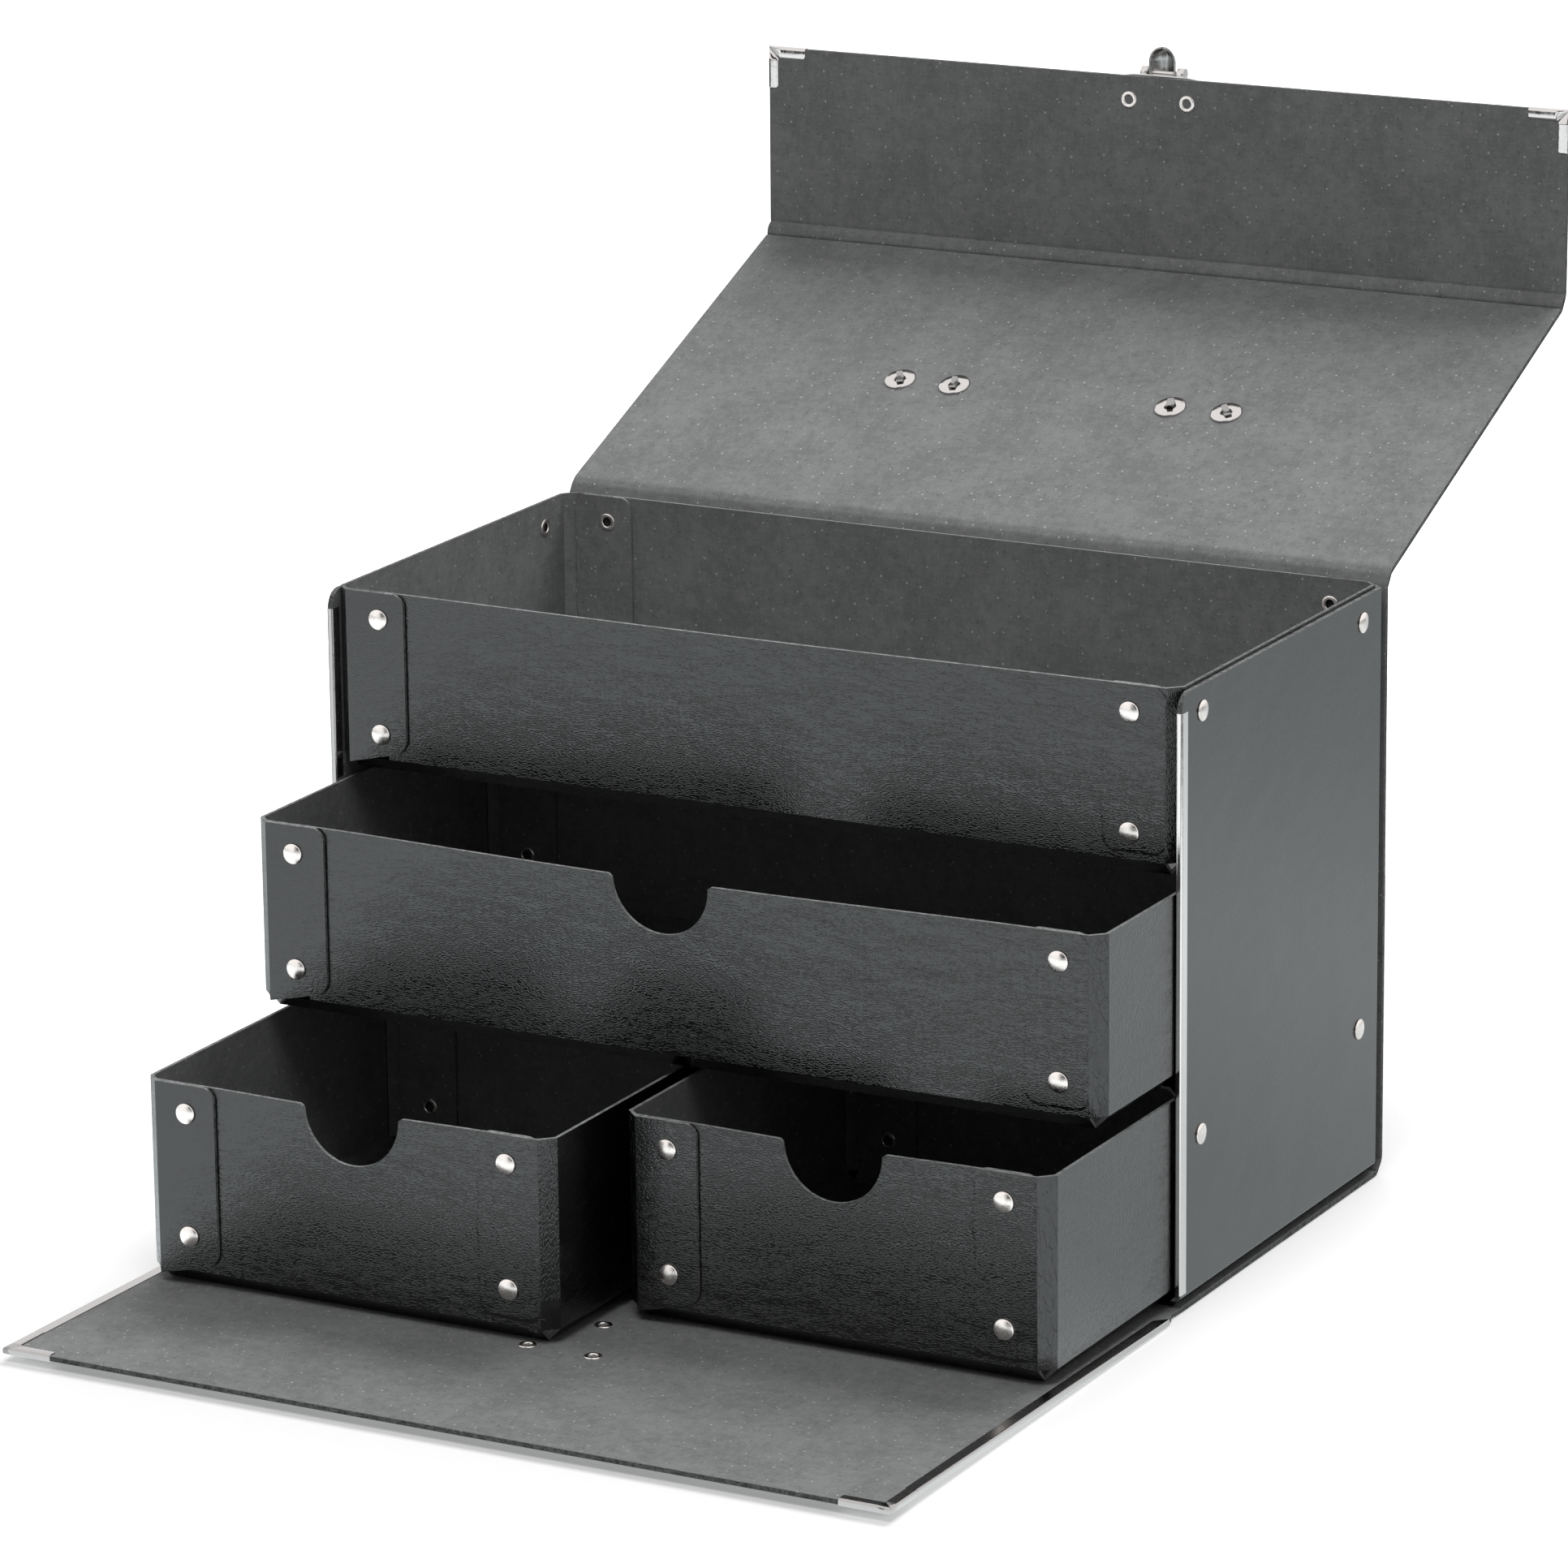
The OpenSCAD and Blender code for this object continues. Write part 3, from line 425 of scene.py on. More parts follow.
def arc_points(a, b, c, r, fine):
    """Points of an arc with radius r that rounds the corner b between a and c."""
    d1, d2 = (b - a).normalized(), (c - b).normalized()
    turn = math.atan2(d1.x * d2.y - d1.y * d2.x, d1.dot(d2))
    start = b - d1 * abs(r * math.tan(turn / 2))
    centre = start + Vector((-d1.y, d1.x)) * r * (1 if turn > 0 else -1)
    v = start - centre
    n = max(4, int(abs(turn) * r / fine) + 2)
    turns = [turn * k / n for k in range(n + 1)]
    return [centre + Vector((v.x * math.cos(t) - v.y * math.sin(t),
                             v.x * math.sin(t) + v.y * math.cos(t))) for t in turns]


def straight_points(start, end, fine, coarse):
    """Points from start to end, both left out: close together near the ends, wide between."""
    length = (end - start).length
    if length <= 1e-6:
        return []
    near = min(4.5, length / 2)
    stops = [0.0]
    d = 0.0
    while d < near - fine / 2:
        d += fine
        stops.append(d)
    first = stops[-1]
    inner = length - 2 * first
    k = max(1, int(round(inner / coarse)))
    stops += [first + inner * j / k for j in range(1, k + 1)]
    d = stops[-1]
    while d < length - fine / 2:
        d += fine
        stops.append(min(d, length))
    way = (end - start).normalized()
    return [start + way * d for d in stops[1:]]


def sheet_line(points, radii, grooves, fine=0.45, coarse=9.0):
    """Samples along a folded line: place, inner normal, length so far and depth of the pressed
    groove on the inner and outer face."""
    pts = [Vector(p) for p in points]
    arcs = [arc_points(*pts[i:i + 3], r, fine) for i, r in enumerate(radii)]
    line = [pts[0]]
    for arc in arcs + [[pts[-1]]]:
        line += straight_points(line[-1], arc[0], fine, coarse)
        if (line[-1] - arc[0]).length > 1e-4:
            line.append(arc[0])
        line += arc[1:]
    clean = [line[0]]
    for p in line[1:]:
        if (p - clean[-1]).length > 0.05:
            clean.append(p)
    s = [0.0]
    for a, b in zip(clean, clean[1:]):
        s.append(s[-1] + (b - a).length)
    creases = [min(range(len(clean)), key=lambda k: (clean[k] - p).length) for p in pts[1:-1]]
    rows = []
    for k, p in enumerate(clean):
        a, b = clean[max(k - 1, 0)], clean[min(k + 1, len(clean) - 1)]
        t = (b - a).normalized()
        inner = outer = 0.0
        for c, (gi, go, width) in zip(creases, grooves):
            w = math.exp(-((s[k] - s[c]) / width) ** 2)
            inner += gi * w
            outer += go * w
        rows.append((p, Vector((-t.y, t.x)), s[k], inner, outer))
    return rows


def sheet_piece(rows, half_w, caps, v_start, columns=30):
    """Solid board from the samples. half_w gives its half width at a length, caps tells which
    ends are closed, and v_start is the length of the board before this piece."""
    bm = bmesh.new()
    layer = bm.loops.layers.uv.verify()
    xs = [-1 + 2 * j / columns for j in range(columns + 1)]
    inner, outer = [], []
    for p, n, s, gi, go in rows:
        w = half_w(s)
        for side, at in ((inner, p + n * (HALF - gi)), (outer, p - n * (HALF - go))):
            side.append([bm.verts.new((x * w * MM, at.x * MM, at.y * MM)) for x in xs])

    def face(vs, uvs, m):
        f = bm.faces.new(vs)
        f.material_index = m
        for loop, uv in zip(f.loops, uvs):
            loop[layer].uv = uv

    m_in, m_out, m_edge = 0, 1, 2
    t = 2 * HALF * MM
    for i in range(len(rows) - 1):
        s0, s1 = (rows[i][2] + v_start) * MM, (rows[i + 1][2] + v_start) * MM
        w0, w1 = half_w(rows[i][2]) * MM, half_w(rows[i + 1][2]) * MM
        for j in range(columns):
            u = [(xs[j] * w0, s0), (xs[j + 1] * w0, s0), (xs[j + 1] * w1, s1), (xs[j] * w1, s1)]
            face([inner[i][j], inner[i][j + 1], inner[i + 1][j + 1], inner[i + 1][j]], u, m_in)
            face([outer[i][j], outer[i + 1][j], outer[i + 1][j + 1], outer[i][j + 1]],
                 [u[0], u[3], u[2], u[1]], m_out)
        face([inner[i][0], inner[i + 1][0], outer[i + 1][0], outer[i][0]],
             [(0, s0), (0, s1), (t, s1), (t, s0)], m_edge)
        face([inner[i][-1], outer[i][-1], outer[i + 1][-1], inner[i + 1][-1]],
             [(0, s0), (t, s0), (t, s1), (0, s1)], m_edge)
    for row, order, closed in ((0, 1, caps[0]), (-1, -1, caps[1])):
        w = half_w(rows[row][2]) * MM
        for j in range(columns if closed else 0):
            vs = [inner[row][j], outer[row][j], outer[row][j + 1], inner[row][j + 1]]
            uvs = [(xs[j] * w, 0), (xs[j] * w, t), (xs[j + 1] * w, t), (xs[j + 1] * w, 0)]
            face(vs[::order], uvs[::order], m_edge)
    bmesh.ops.recalc_face_normals(bm, faces=bm.faces)
    bevel_by_angle(bm, 60, 181, 0.28, 2)  # 181 takes in faces that lie flat on each other
    return bm


def between(a, b, share):
    return (a[0] + (b[0] - a[0]) * share, a[1] + (b[1] - a[1]) * share)


def wrap_half(s):
    return WRAP_HALF_W


def front_half(s):
    """Half width along the front panel: it narrows to the strip's width near the fold."""
    t = min(max((s - NARROWS_AT) / NARROWS_OVER, 0.0), 1.0)
    return FRONT_HALF_W + (WRAP_HALF_W - FRONT_HALF_W) * t


def crease_span(a, c, b):
    """Points before and after crease c, on the runs towards a and b."""
    a3, c3, b3 = [Vector((0, *p)) for p in (a, c, b)]
    return [(c3 + (p - c3).normalized() * BEND_REACH) * MM for p in (a3, b3)]


def wrap_section(name, points, radii, grooves, half_w, caps, bodies, node, v_start, ridge=None):
    """One piece of the wrap in place of node. It rides on its body when given one; given two, it
    is baked in place and rides on neither. ridge names the end that carries half of a pressed
    ridge."""
    rows = sheet_line(points, radii, grooves)
    length = rows[-1][2]
    if ridge:
        at = length if ridge == "end" else 0.0
        rows = [(p, n, s, gi - RIDGE_H * math.exp(-((s - at) / RIDGE_W) ** 2), go)
                for p, n, s, gi, go in rows]
    # The wrap's cut edges take the darker copy of the edge material: painted shade
    ob = new_object(name, sheet_piece(rows, half_w, caps, v_start), [LINER, COVER, EDGE_SHADED])
    weighted(ob)
    if len(bodies) == 1:
        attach(ob, bodies[0])
    else:
        start, end = crease_span(*points)
        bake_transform(ob)
        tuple(start)
        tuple(end)
    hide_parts(node)
    return v_start + length


front_mid = between(FRONT_1, FRONT_2, 0.5)
base_cut = (0.0, 1.0)
back_cut = (93.6, 120.0)
lid_strip_mid = between(LID_1, LID_2, 0.5)
lid_cut = between(LID_2, FLAP_1, 0.5)
flap_strip_mid = between(FLAP_1, FLAP_2, 0.5)

run = wrap_section("wrap_front", [FRONT_END, FRONT_2, front_mid], [2.2], [(0.25, 0.1, 0.8)],
                   front_half, (True, False), ("front", "front_strip"), "front_panel", 0.0)
run = wrap_section("wrap_base", [front_mid, FRONT_1, base_cut], [2.2], [(0.25, 0.1, 0.8)],
                   wrap_half, (False, False), ("front_strip", "box"), "front_fold_strip", run)
run = wrap_section("wrap_back", [base_cut, REAR_1, REAR_2, back_cut], [2.6, 2.6],
                   [(0.3, 0.1, 0.8), (0.3, 0.1, 0.8)], wrap_half, (False, False), ("box",),
                   "base_wrap", run)
run = wrap_section("wrap_top", [back_cut, LID_1, lid_strip_mid], [3.4], [(0.1, 0.25, 1.0)],
                   wrap_half, (False, False), ("box", "lid_strip"), "lid_fold_strip", run)
run = wrap_section("wrap_lid", [lid_strip_mid, LID_2, lid_cut], [9.0], [(0.1, 0.25, 1.0)],
                   wrap_half, (False, False), ("lid_strip", "lid"), "lid_panel", run)
run = wrap_section("wrap_lid_end", [lid_cut, FLAP_1, flap_strip_mid], [1.2], [(0.75, 0.1, 0.5)],
                   wrap_half, (False, False), ("lid", "flap_strip"), "flap_fold_strip", run,
                   "end")
wrap_section("wrap_flap", [flap_strip_mid, FLAP_2, FLAP_END], [2.2], [(0.3, 0.2, 0.8)],
             wrap_half, (False, True), ("flap_strip", "flap"), "flap_panel", run, "start")


# Tray and drawers, from their CAD forms

CORNER_LEG = 5.4
TAB_W = 25.4
TAB_FOOT = 3.0
TAB_R = 5.0
TAB_SLANT = 5.2
DEPTH_NEAR_REAR = 170
CUTS_ACROSS, CUTS_UP = 16, 6


def slant_tab_feet(bm, w, x0, y0, z0):
    """The lower edge of the outer tab rises from the fold to its free end, front and rear."""
    depth = max(v.co.y for v in bm.verts) / MM - y0
    foot = z0 + CORNER_LEG + TAB_FOOT
    for v in bm.verts:
        x, y, z = v.co / MM
        for end, side in ((y - y0, 1), (y0 + depth - y, -1)):
            along = side * (x - x0) + w / 2 - CORNER_LEG
            if (end < 1.5 and -0.05 < along < TAB_W + 0.2
                    and foot - 0.2 < z < foot + TAB_R + 0.1):
                v.co.z += (-TAB_SLANT + (TAB_SLANT + 0.8) * along / TAB_W) * MM


def grid_cuts(bm, w, x0, z0, h):
    """Cut lines that let the walls bend."""
    wall = h - CORNER_LEG
    cuts = [(x0 - w / 2 + w * k / CUTS_ACROSS, (1, 0, 0)) for k in range(1, CUTS_ACROSS)]
    cuts += [(z0 + CORNER_LEG + wall * k / CUTS_UP, (0, 0, 1)) for k in range(1, CUTS_UP)]
    for at, normal in cuts:
        bmesh.ops.bisect_plane(bm, geom=bm.verts[:] + bm.edges[:] + bm.faces[:], dist=1e-6,
                               plane_co=[at * c * MM for c in normal], plane_no=normal)


def bow_front(bm, w, x0, y0, z0, h, amount):
    """The front wall leans out between its tabs, most at the middle of its top edge."""
    reach = w / 2 - CORNER_LEG - TAB_W
    for v in bm.verts:
        x, y, z = v.co / MM
        if y0 - 0.2 < y < y0 + 3.0 and z > z0 + CORNER_LEG and abs(x - x0) < reach:
            share = 1 - ((x - x0) / reach) ** 2
            v.co.y -= amount * share ** 1.5 * (z - z0 - CORNER_LEG) / (h - CORNER_LEG) * MM


def folded_box(name, node, body, w, x0, y0, z0, h, bow):
    """Tray or drawer: walls with soft folds, cracked corner facets, pale cut edges and the
    pressed outline of the tab that lies behind the right end of the front. w and h are its
    width and height, (x0, y0, z0) the foot of its front's middle, and bow how far that leans."""
    bm = from_node(node)
    slant_tab_feet(bm, w, x0, y0, z0)
    grid_cuts(bm, w, x0, z0, h)
    bevel_by_angle(bm, 30, 60, 0.9, 3)
    bevel_by_angle(bm, 75, 180, 0.22, 2)
    tab_h = h - CORNER_LEG - TAB_FOOT
    tab = (x0 + w / 2 - CORNER_LEG - TAB_W / 2, z0 + h - tab_h / 2, TAB_W / 2, tab_h / 2, TAB_R)
    mats = [COVER, LINER, EDGE, FACET, cover("cover_" + name, tab=tab), EDGE_SHADED, LINER_CREASE_SHADE]
    outside, inside, pale, facet, front, shaded_edge, fold = range(7)

    def pick(f):
        """Slot of a face, from its direction and its place in millimetres."""
        n = f.normal
        nx, ny = abs(n.x), abs(n.y)
        p = f.calc_center_median() / MM
        dx, dy, y, z = p.x - x0, p.y - y0 - 90, p.y - y0, p.z - z0
        if n.z > 0.6 and z > h - 0.6:
            # The tray's side top edges take the darker edge, and its rear top edge the liner, in
            # place of the pale edge: painted shade
            if name == "tray" and y > 6:
                return inside if y > DEPTH_NEAR_REAR else shaded_edge
            return pale
        if ny < 0.5 and 1.3 < y < 2.9 and z > 30 and abs(dx) < w / 2 - 35:
            return pale
        # The outer tab's right-hand cut edge takes the darker edge: a painted shadow line
        if n.x > 0.3 and y < 1.3 and ny < 0.3 and z > 6:
            return shaded_edge
        upright = abs(n.z) < 0.3
        if upright and 0.5 < nx < 0.87 and 0.5 < ny < 0.87 and n.x * dx > 0 and n.y * dy > 0:
            return facet
        if abs(n.z) < 0.2 and n.y < -0.9 and y < 2.2:
            return front
        if n.z < -0.3:
            return outside
        if math.hypot(n.x, n.y) > 0.5:
            outward = n.x * dx > 0 if nx > ny else n.y * dy > 0
            if outward and (abs(abs(dx) - w / 2) < 2 or y < 2.2 or y > DEPTH_NEAR_REAR):
                return outside
        if n.z < 0 and z < 8:
            return outside
        # Inner bevels beside the corner facets take the near-black liner: painted shade in the
        # creases
        return fold if upright and 0.12 < min(nx, ny) < 0.6 else inside

    def bend(mesh):
        bow_front(mesh, w, x0, y0, z0, h, bow)

    finish_piece(name, bm, mats, pick, body, node, bend)


folded_box("tray", "top_tray", "box", 355.6, 0.0, -90.6, 166.0, 71.2, 2.0)
folded_box("drawer_wide", "wide_drawer", "wide_drawer", 354.7, 0.0, -153.1, 87.3, 73.7, 5.5)
folded_box("drawer_left", "left_drawer", "left_drawer", 173.3, -90.15, -235.3, 4.3, 78.2, 1.5)
folded_box("drawer_right", "right_drawer", "right_drawer", 173.3, 90.15, -193.7, 4.3, 78.2, 1.8)


# Side panels, shelf and divider

def board_piece(name, node, pick, soft):
    bm = from_node(node)
    bevel_by_angle(bm, 30, 60, soft, 3)
    bevel_by_angle(bm, 75, 180, 0.25, 2)
    # Cut edges take the darker copy of the edge material: painted shade
    finish_piece(name, bm, [COVER_PLAIN, LINER, EDGE_SHADED], pick, "box", node)


def side_pick(sign):
    """Slots of a side panel on the side of sign: cut edges on top and in front, in the darker edge
    colour of painted shade, liner inside.
    """
    def pick(f):
        n, p = f.normal, f.calc_center_median()
        if n.z > 0.6 and p.z > 0.2:
            return 2
        if abs(n.x) > 0.5 and n.x * sign < 0:
            return 1
        return 2 if n.y < -0.8 and p.y < -0.088 else 0
    return pick


def front_edge_pick(f):
    return 2 if f.normal.y < -0.8 else 0


board_piece("side_right", "right_side_panel", side_pick(1), 0.9)
board_piece("side_left", "left_side_panel", side_pick(-1), 0.9)
board_piece("shelf_board", "shelf", front_edge_pick, 0.4)
board_piece("divider_board", "drawer_divider", front_edge_pick, 0.3)


# Plane frames of the panels: origin at the crease, +X along it, V up the panel, W to the liner

class Panel:
    def __init__(self, crease, direction, side=1):
        a = math.radians(direction)
        self.o = Vector((0, *crease)) * MM
        self.v = Vector((0, math.cos(a), math.sin(a)))
        self.w = Vector((0, -math.sin(a), math.cos(a))) * side

    def at(self, x, v, w):
        return self.o + (Vector((x, 0, 0)) + self.v * v + self.w * w) * MM


LID = Panel(LID_2, LID_WAY)
FLAP = Panel(FLAP_2, FLAP_WAY)
FRONT = Panel(FRONT_2, FRONT_WAY, -1)


# Rivets: turned caps and rolled ends, at the places of the CAD solids

def islands(ob):
    """Groups of joined vertices of a mesh, as lists of points."""
    me = ob.data
    group = list(range(len(me.vertices)))

    def root(i):
        while group[i] != i:
            group[i] = group[group[i]]
            i = group[i]
        return i

    seen = {}
    for v in me.vertices:
        key = tuple(round(c, 6) for c in v.co)
        if key in seen:
            group[root(v.index)] = root(seen[key])
        seen[key] = v.index
    for e in me.edges:
        group[root(e.vertices[0])] = root(e.vertices[1])
    out = {}
    for v in me.vertices:
        out.setdefault(root(v.index), []).append(v.co.copy())
    return list(out.values())


def lathe(bm, profile, origin, axis, mats, turns=40, dent=0.0, seed=0.0):
    """Turn (radius, height) points in millimetres round the axis; mats gives each band's slot."""
    z = axis.normalized()
    x = z.orthogonal().normalized()
    y = z.cross(x)
    rings = []
    for r, h in profile:
        if r < 1e-6:
            rings.append([bm.verts.new(origin + z * h * MM)])
            continue
        ring = []
        for k in range(turns):
            a = 2 * math.pi * k / turns
            spot = Vector((math.cos(a) * r * 0.35, math.sin(a) * r * 0.35, seed))
            lift = dent * noise.noise(spot)
            side = x * math.cos(a) + y * math.sin(a)
            ring.append(bm.verts.new(origin + side * r * MM + z * (h + lift) * MM))
        rings.append(ring)
    for i, (low, top) in enumerate(zip(rings, rings[1:])):
        for k in range(turns):
            j = (k + 1) % turns
            if len(low) == 1:
                vs = [low[0], top[j], top[k]]
            elif len(top) == 1:
                vs = [low[k], low[j], top[0]]
            else:
                vs = [low[k], low[j], top[j], top[k]]
            f = bm.faces.new(vs)
            f.material_index = mats[i]


def dome(cap_r, cap_h):
    """Profile of a cap from its rim, a short rounded wall, to its shallow crown."""
    lip = 0.52 * cap_h
    pts = [(cap_r * 0.55, 0.0), (cap_r - 0.1, 0.0), (cap_r, 0.1), (cap_r, lip * 0.55)]
    for k in range(1, 5):
        a = math.radians(68 * k / 4)
        rise = 0.45 * math.sin(a) / math.sin(math.radians(68))
        pts.append((cap_r - 0.42 * (1 - math.cos(a)), lip * (0.55 + rise)))
    edge = pts[-1][0]
    for k in range(1, 9):
        r = edge * (1 - k / 8)
        pts.append((r, lip + (cap_h - lip) * (1 - (r / edge) ** 2)))
    return pts


def rolled_end(depth):
    """Profile of a rolled rivet end: ring on the board, then the hollow shank."""
    bore_r, roll = 1.85, 0.78
    mid = bore_r + roll
    pts = [(mid + roll * 0.98, -depth + 0.05)]
    for k in range(0, 9):
        a = math.radians(180 * k / 8)
        pts.append((mid + roll * math.cos(a), -depth - 0.55 * math.sqrt(max(0.0, math.sin(a)))))
    return pts + [(bore_r, -depth + 0.5), (bore_r * 0.96, -depth + 1.1), (0.0, -depth + 1.25)]


CAP_R = 4.0
HOLLOW_FROM = 2.6


def rivets(name, node, body, axis_of, cap_h=1.6):
    """Turned rivets at the solids of node: axis_of points out of the cap. A solid whose inner
    end is wide enough is hollow and gets a rolled end."""
    bm = bmesh.new()
    for i, pts in enumerate(islands(frame["nodes"][node])):
        lows = [min(p[k] for p in pts) for k in range(3)]
        highs = [max(p[k] for p in pts) for k in range(3)]
        centre = Vector([(a + b) / 2 for a, b in zip(lows, highs)])
        axis = axis_of(centre)
        along = [(p - centre).dot(axis) / MM for p in pts]
        top, end = max(along), min(along)
        reach = max(((p - centre) - axis * (p - centre).dot(axis)).length / MM
                    for p, h in zip(pts, along) if h < end + 0.5)
        base = centre + axis * (top - cap_h) * MM
        profile = dome(CAP_R, cap_h)
        lathe(bm, profile, base, axis, [0] * len(profile), dent=0.05, seed=i * 7.7)
        if reach > HOLLOW_FROM:
            profile = rolled_end(top - cap_h - end - 0.75)
            # The bands down and across the bore carry the painted shade
            mats = [0] * (len(profile) - 4) + [1] * 4
            lathe(bm, profile, base, axis, mats, dent=0.06, seed=i * 3.3)
    bmesh.ops.recalc_face_normals(bm, faces=bm.faces)
    ob = new_object(name, bm, [NICKEL, BORE_SHADE])
    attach(ob, body)
    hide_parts(node)


def drawer_axis(middle):
    return lambda c: Vector((0, -1 if c.y < middle * MM else 1, 0))


rivets("rivets_tray", "tray_front_rivets", "box", lambda c: Vector((0, -1, 0)))
rivets("rivets_back", "back_rivets", "box", lambda c: Vector((0, 1, 0)))
rivets("rivets_sides", "side_rivets", "box", lambda c: Vector((1 if c.x > 0 else -1, 0, 0)))
rivets("rivets_wide", "wide_drawer_rivets", "wide_drawer", drawer_axis(-64))
rivets("rivets_left", "left_drawer_rivets", "left_drawer", drawer_axis(-146))
rivets("rivets_right", "right_drawer_rivets", "right_drawer", drawer_axis(-104))
rivets("rivets_latch", "latch_rivets", "flap", lambda c: -FLAP.w, 0.85)
rivets("rivets_catch", "catch_rivets", "front", lambda c: -FRONT.w, 0.85)


# Metal corners: two legs that meet in a mitred seam, pressed over the board's corner

GUARD_OUT, GUARD_LEG, GUARD_HALF = 0.35, 4.75, 1.35
TIP_R = 1.25


def guard_section():
    """Section of a leg: (distance from the outer edge, height), from the liner side round the
    edge to the outer side."""
    leg, half = GUARD_LEG, GUARD_HALF
    return [(leg, 0.72), (leg - 0.1, 1.12), (leg - 0.45, half + 0.03), (leg - 1.2, half + 0.06),
            (1.2, half + 0.06), (0.62, half), (0.2, half - 0.22), (0.0, half - 0.7),
            (0.0, -half + 0.7), (0.2, -half + 0.22), (0.62, -half), (leg - 0.3, -half),
            (leg, -half + 0.15), (leg, -half + 0.4)]


def guard_end(t, tip, d, w):
    """How far the section point (d, w) reaches along a leg at station t: the mitre at 0, and a
    rounded corner near the tip."""
    if t == 0.0:
        return d + (0.16 if w > 0.9 else 0.0)
    if t < tip - 1.41 or w <= 0.5:
        return t
    back = max(0.0, (d - (GUARD_LEG - 1.3)) / 1.3)
    round_off = TIP_R * (1 - math.sqrt(max(0.0, 1 - back * back)))
    end = t - (round_off if t >= tip - 0.01 else 0.0)
    return min(end, tip - round_off) if t >= tip - 0.71 else end


def corner_guard(name, node, body, panel, corner_x, corner_v, arm, material):
    side = 1 if corner_x > 0 else -1
    tip = arm + GUARD_OUT
    stops = (0.0, GUARD_LEG + 1.2, tip * 0.6, tip - 1.4, tip - 0.7, tip - 0.2, tip)
    section = guard_section()
    bm = bmesh.new()
    for along_x in (True, False):
        stations = []
        for t in stops:
            row = []
            for d, w in section:
                end = guard_end(t, tip, d, w)
                x, v = (end, d) if along_x else (d, end)
                row.append(bm.verts.new(panel.at(corner_x - side * (x - GUARD_OUT),
                                                 corner_v - (v - GUARD_OUT), w)))
            stations.append(row)
        for r0, r1 in zip(stations, stations[1:]):
            for k in range(len(section) - 1):
                bm.faces.new([r0[k], r0[k + 1], r1[k + 1], r1[k]])
    bmesh.ops.remove_doubles(bm, verts=bm.verts, dist=2e-6)
    bmesh.ops.recalc_face_normals(bm, faces=bm.faces)
    ob = new_object(name, bm, [material])
    solid = ob.modifiers.new("sheet", "SOLIDIFY")
    solid.thickness = 0.3 * MM
    solid.offset = -1
    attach(ob, body)
    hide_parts(node)


for label, sign in (("left", -1), ("right", 1)):
    corner_guard("flap_guard_" + label, "flap_%s_corner" % label, "flap", FLAP,
                 sign * WRAP_HALF_W, FLAP_LEN, 17.0, CHROME)
# The front corners take the darker copy of the trim metal: painted shade
for label, sign in (("left", -1), ("right", 1)):
    corner_guard("front_guard_" + label, "front_panel_%s_corner" % label, "front", FRONT,
                 sign * FRONT_HALF_W, FRONT_LEN, 20.0, TRIM_SHADED)


# Handle fixings inside the lid: washers, and post ends split and bent over them

POST_V = 88.0
BRACKET_X, BRACKET_HALF = 60.25, 12.25
POSTS = {"left": (-72.5, -48.0), "right": (48.0, 72.5)}
POST_TURNS = {-72.5: 24, -48.0: 10, 48.0: 196, 72.5: 38}


def handle_fixings():
    bm = bmesh.new()
    section = [(2.0, 1.0), (2.0, 1.75), (2.25, 2.0), (3.0, 2.03), (5.9, 2.0), (6.35, 1.85),
               (6.5, 1.55), (6.5, 1.0)]
    for i, x in enumerate(POSTS["left"] + POSTS["right"]):
        lathe(bm, section, LID.at(x, POST_V, 0), LID.w, [0] * 7, dent=0.05, seed=i * 2.9)
    bmesh.ops.recalc_face_normals(bm, faces=bm.faces)
    ob = new_object("handle_washers_turned", bm, [CHROME])
    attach(ob, "lid")
    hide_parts("handle_washers")


def prong(bm, origin, u, v, w, bend, length, width):
    """A flat strip that leaves the post upright and is bent over by the given angle."""
    steps, r = 7, 0.9
    rows = []
    for k in range(steps + 1):
        a = math.radians(bend) * k / steps
        rows.append((r * (1 - math.cos(a)), r * math.sin(a), a, 0.42, width / 2))
    along, up, a = rows[-1][:3]
    rows.append((along + math.sin(a) * length, up + math.cos(a) * length, a, 0.25,
                 width / 2 * 0.82))
    verts = []
    for along, up, a, t, half in rows:
        n_along, n_up = math.cos(a), -math.sin(a)
        verts.append([bm.verts.new(origin + (u * x + v * (along - n_along * q)
                                             + w * (up - n_up * q)) * MM)
                      for x, q in ((-half, t), (half, t), (half, -t), (-half, -t))])
    for a, b in zip(verts, verts[1:]):
        for k in range(4):
            bm.faces.new([a[k], a[(k + 1) % 4], b[(k + 1) % 4], b[k]])
    bm.faces.new(verts[0])
    bm.faces.new(list(reversed(verts[-1])))


def post_ends():
    for side, places in POSTS.items():
        bm = bmesh.new()
        for x in places:
            a = math.radians(POST_TURNS[x])
            u = Vector((math.cos(a), 0, 0)) + LID.v * math.sin(a)
            v = LID.w.cross(u)
            o = LID.at(x, POST_V, 1.35)
            prong(bm, o - v * 0.5 * MM, u, -v, LID.w, 78, 2.9, 3.3)
            prong(bm, o + v * 0.5 * MM, u, v, LID.w, 40, 2.6, 2.9)
            section = [(1.95, -0.6), (1.95, 0.25), (1.7, 0.5), (0.0, 0.4)]
            # The post's end between its prongs is in the painted-shade colour
            lathe(bm, section, o, LID.w, [1] * 3, turns=20)
        bmesh.ops.recalc_face_normals(bm, faces=bm.faces)
        sharp = [e for e in bm.edges if len(e.link_faces) == 2
                 and e.calc_face_angle(0) > math.radians(60)
                 and e.link_faces[0].material_index == 0]
        bmesh.ops.bevel(bm, geom=sharp, offset=0.1 * MM, segments=2, profile=0.5,
                        affect="EDGES")
        ob = new_object("handle_prongs_" + side, bm, [STEEL, BORE_SHADE])
        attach(ob, "lid")


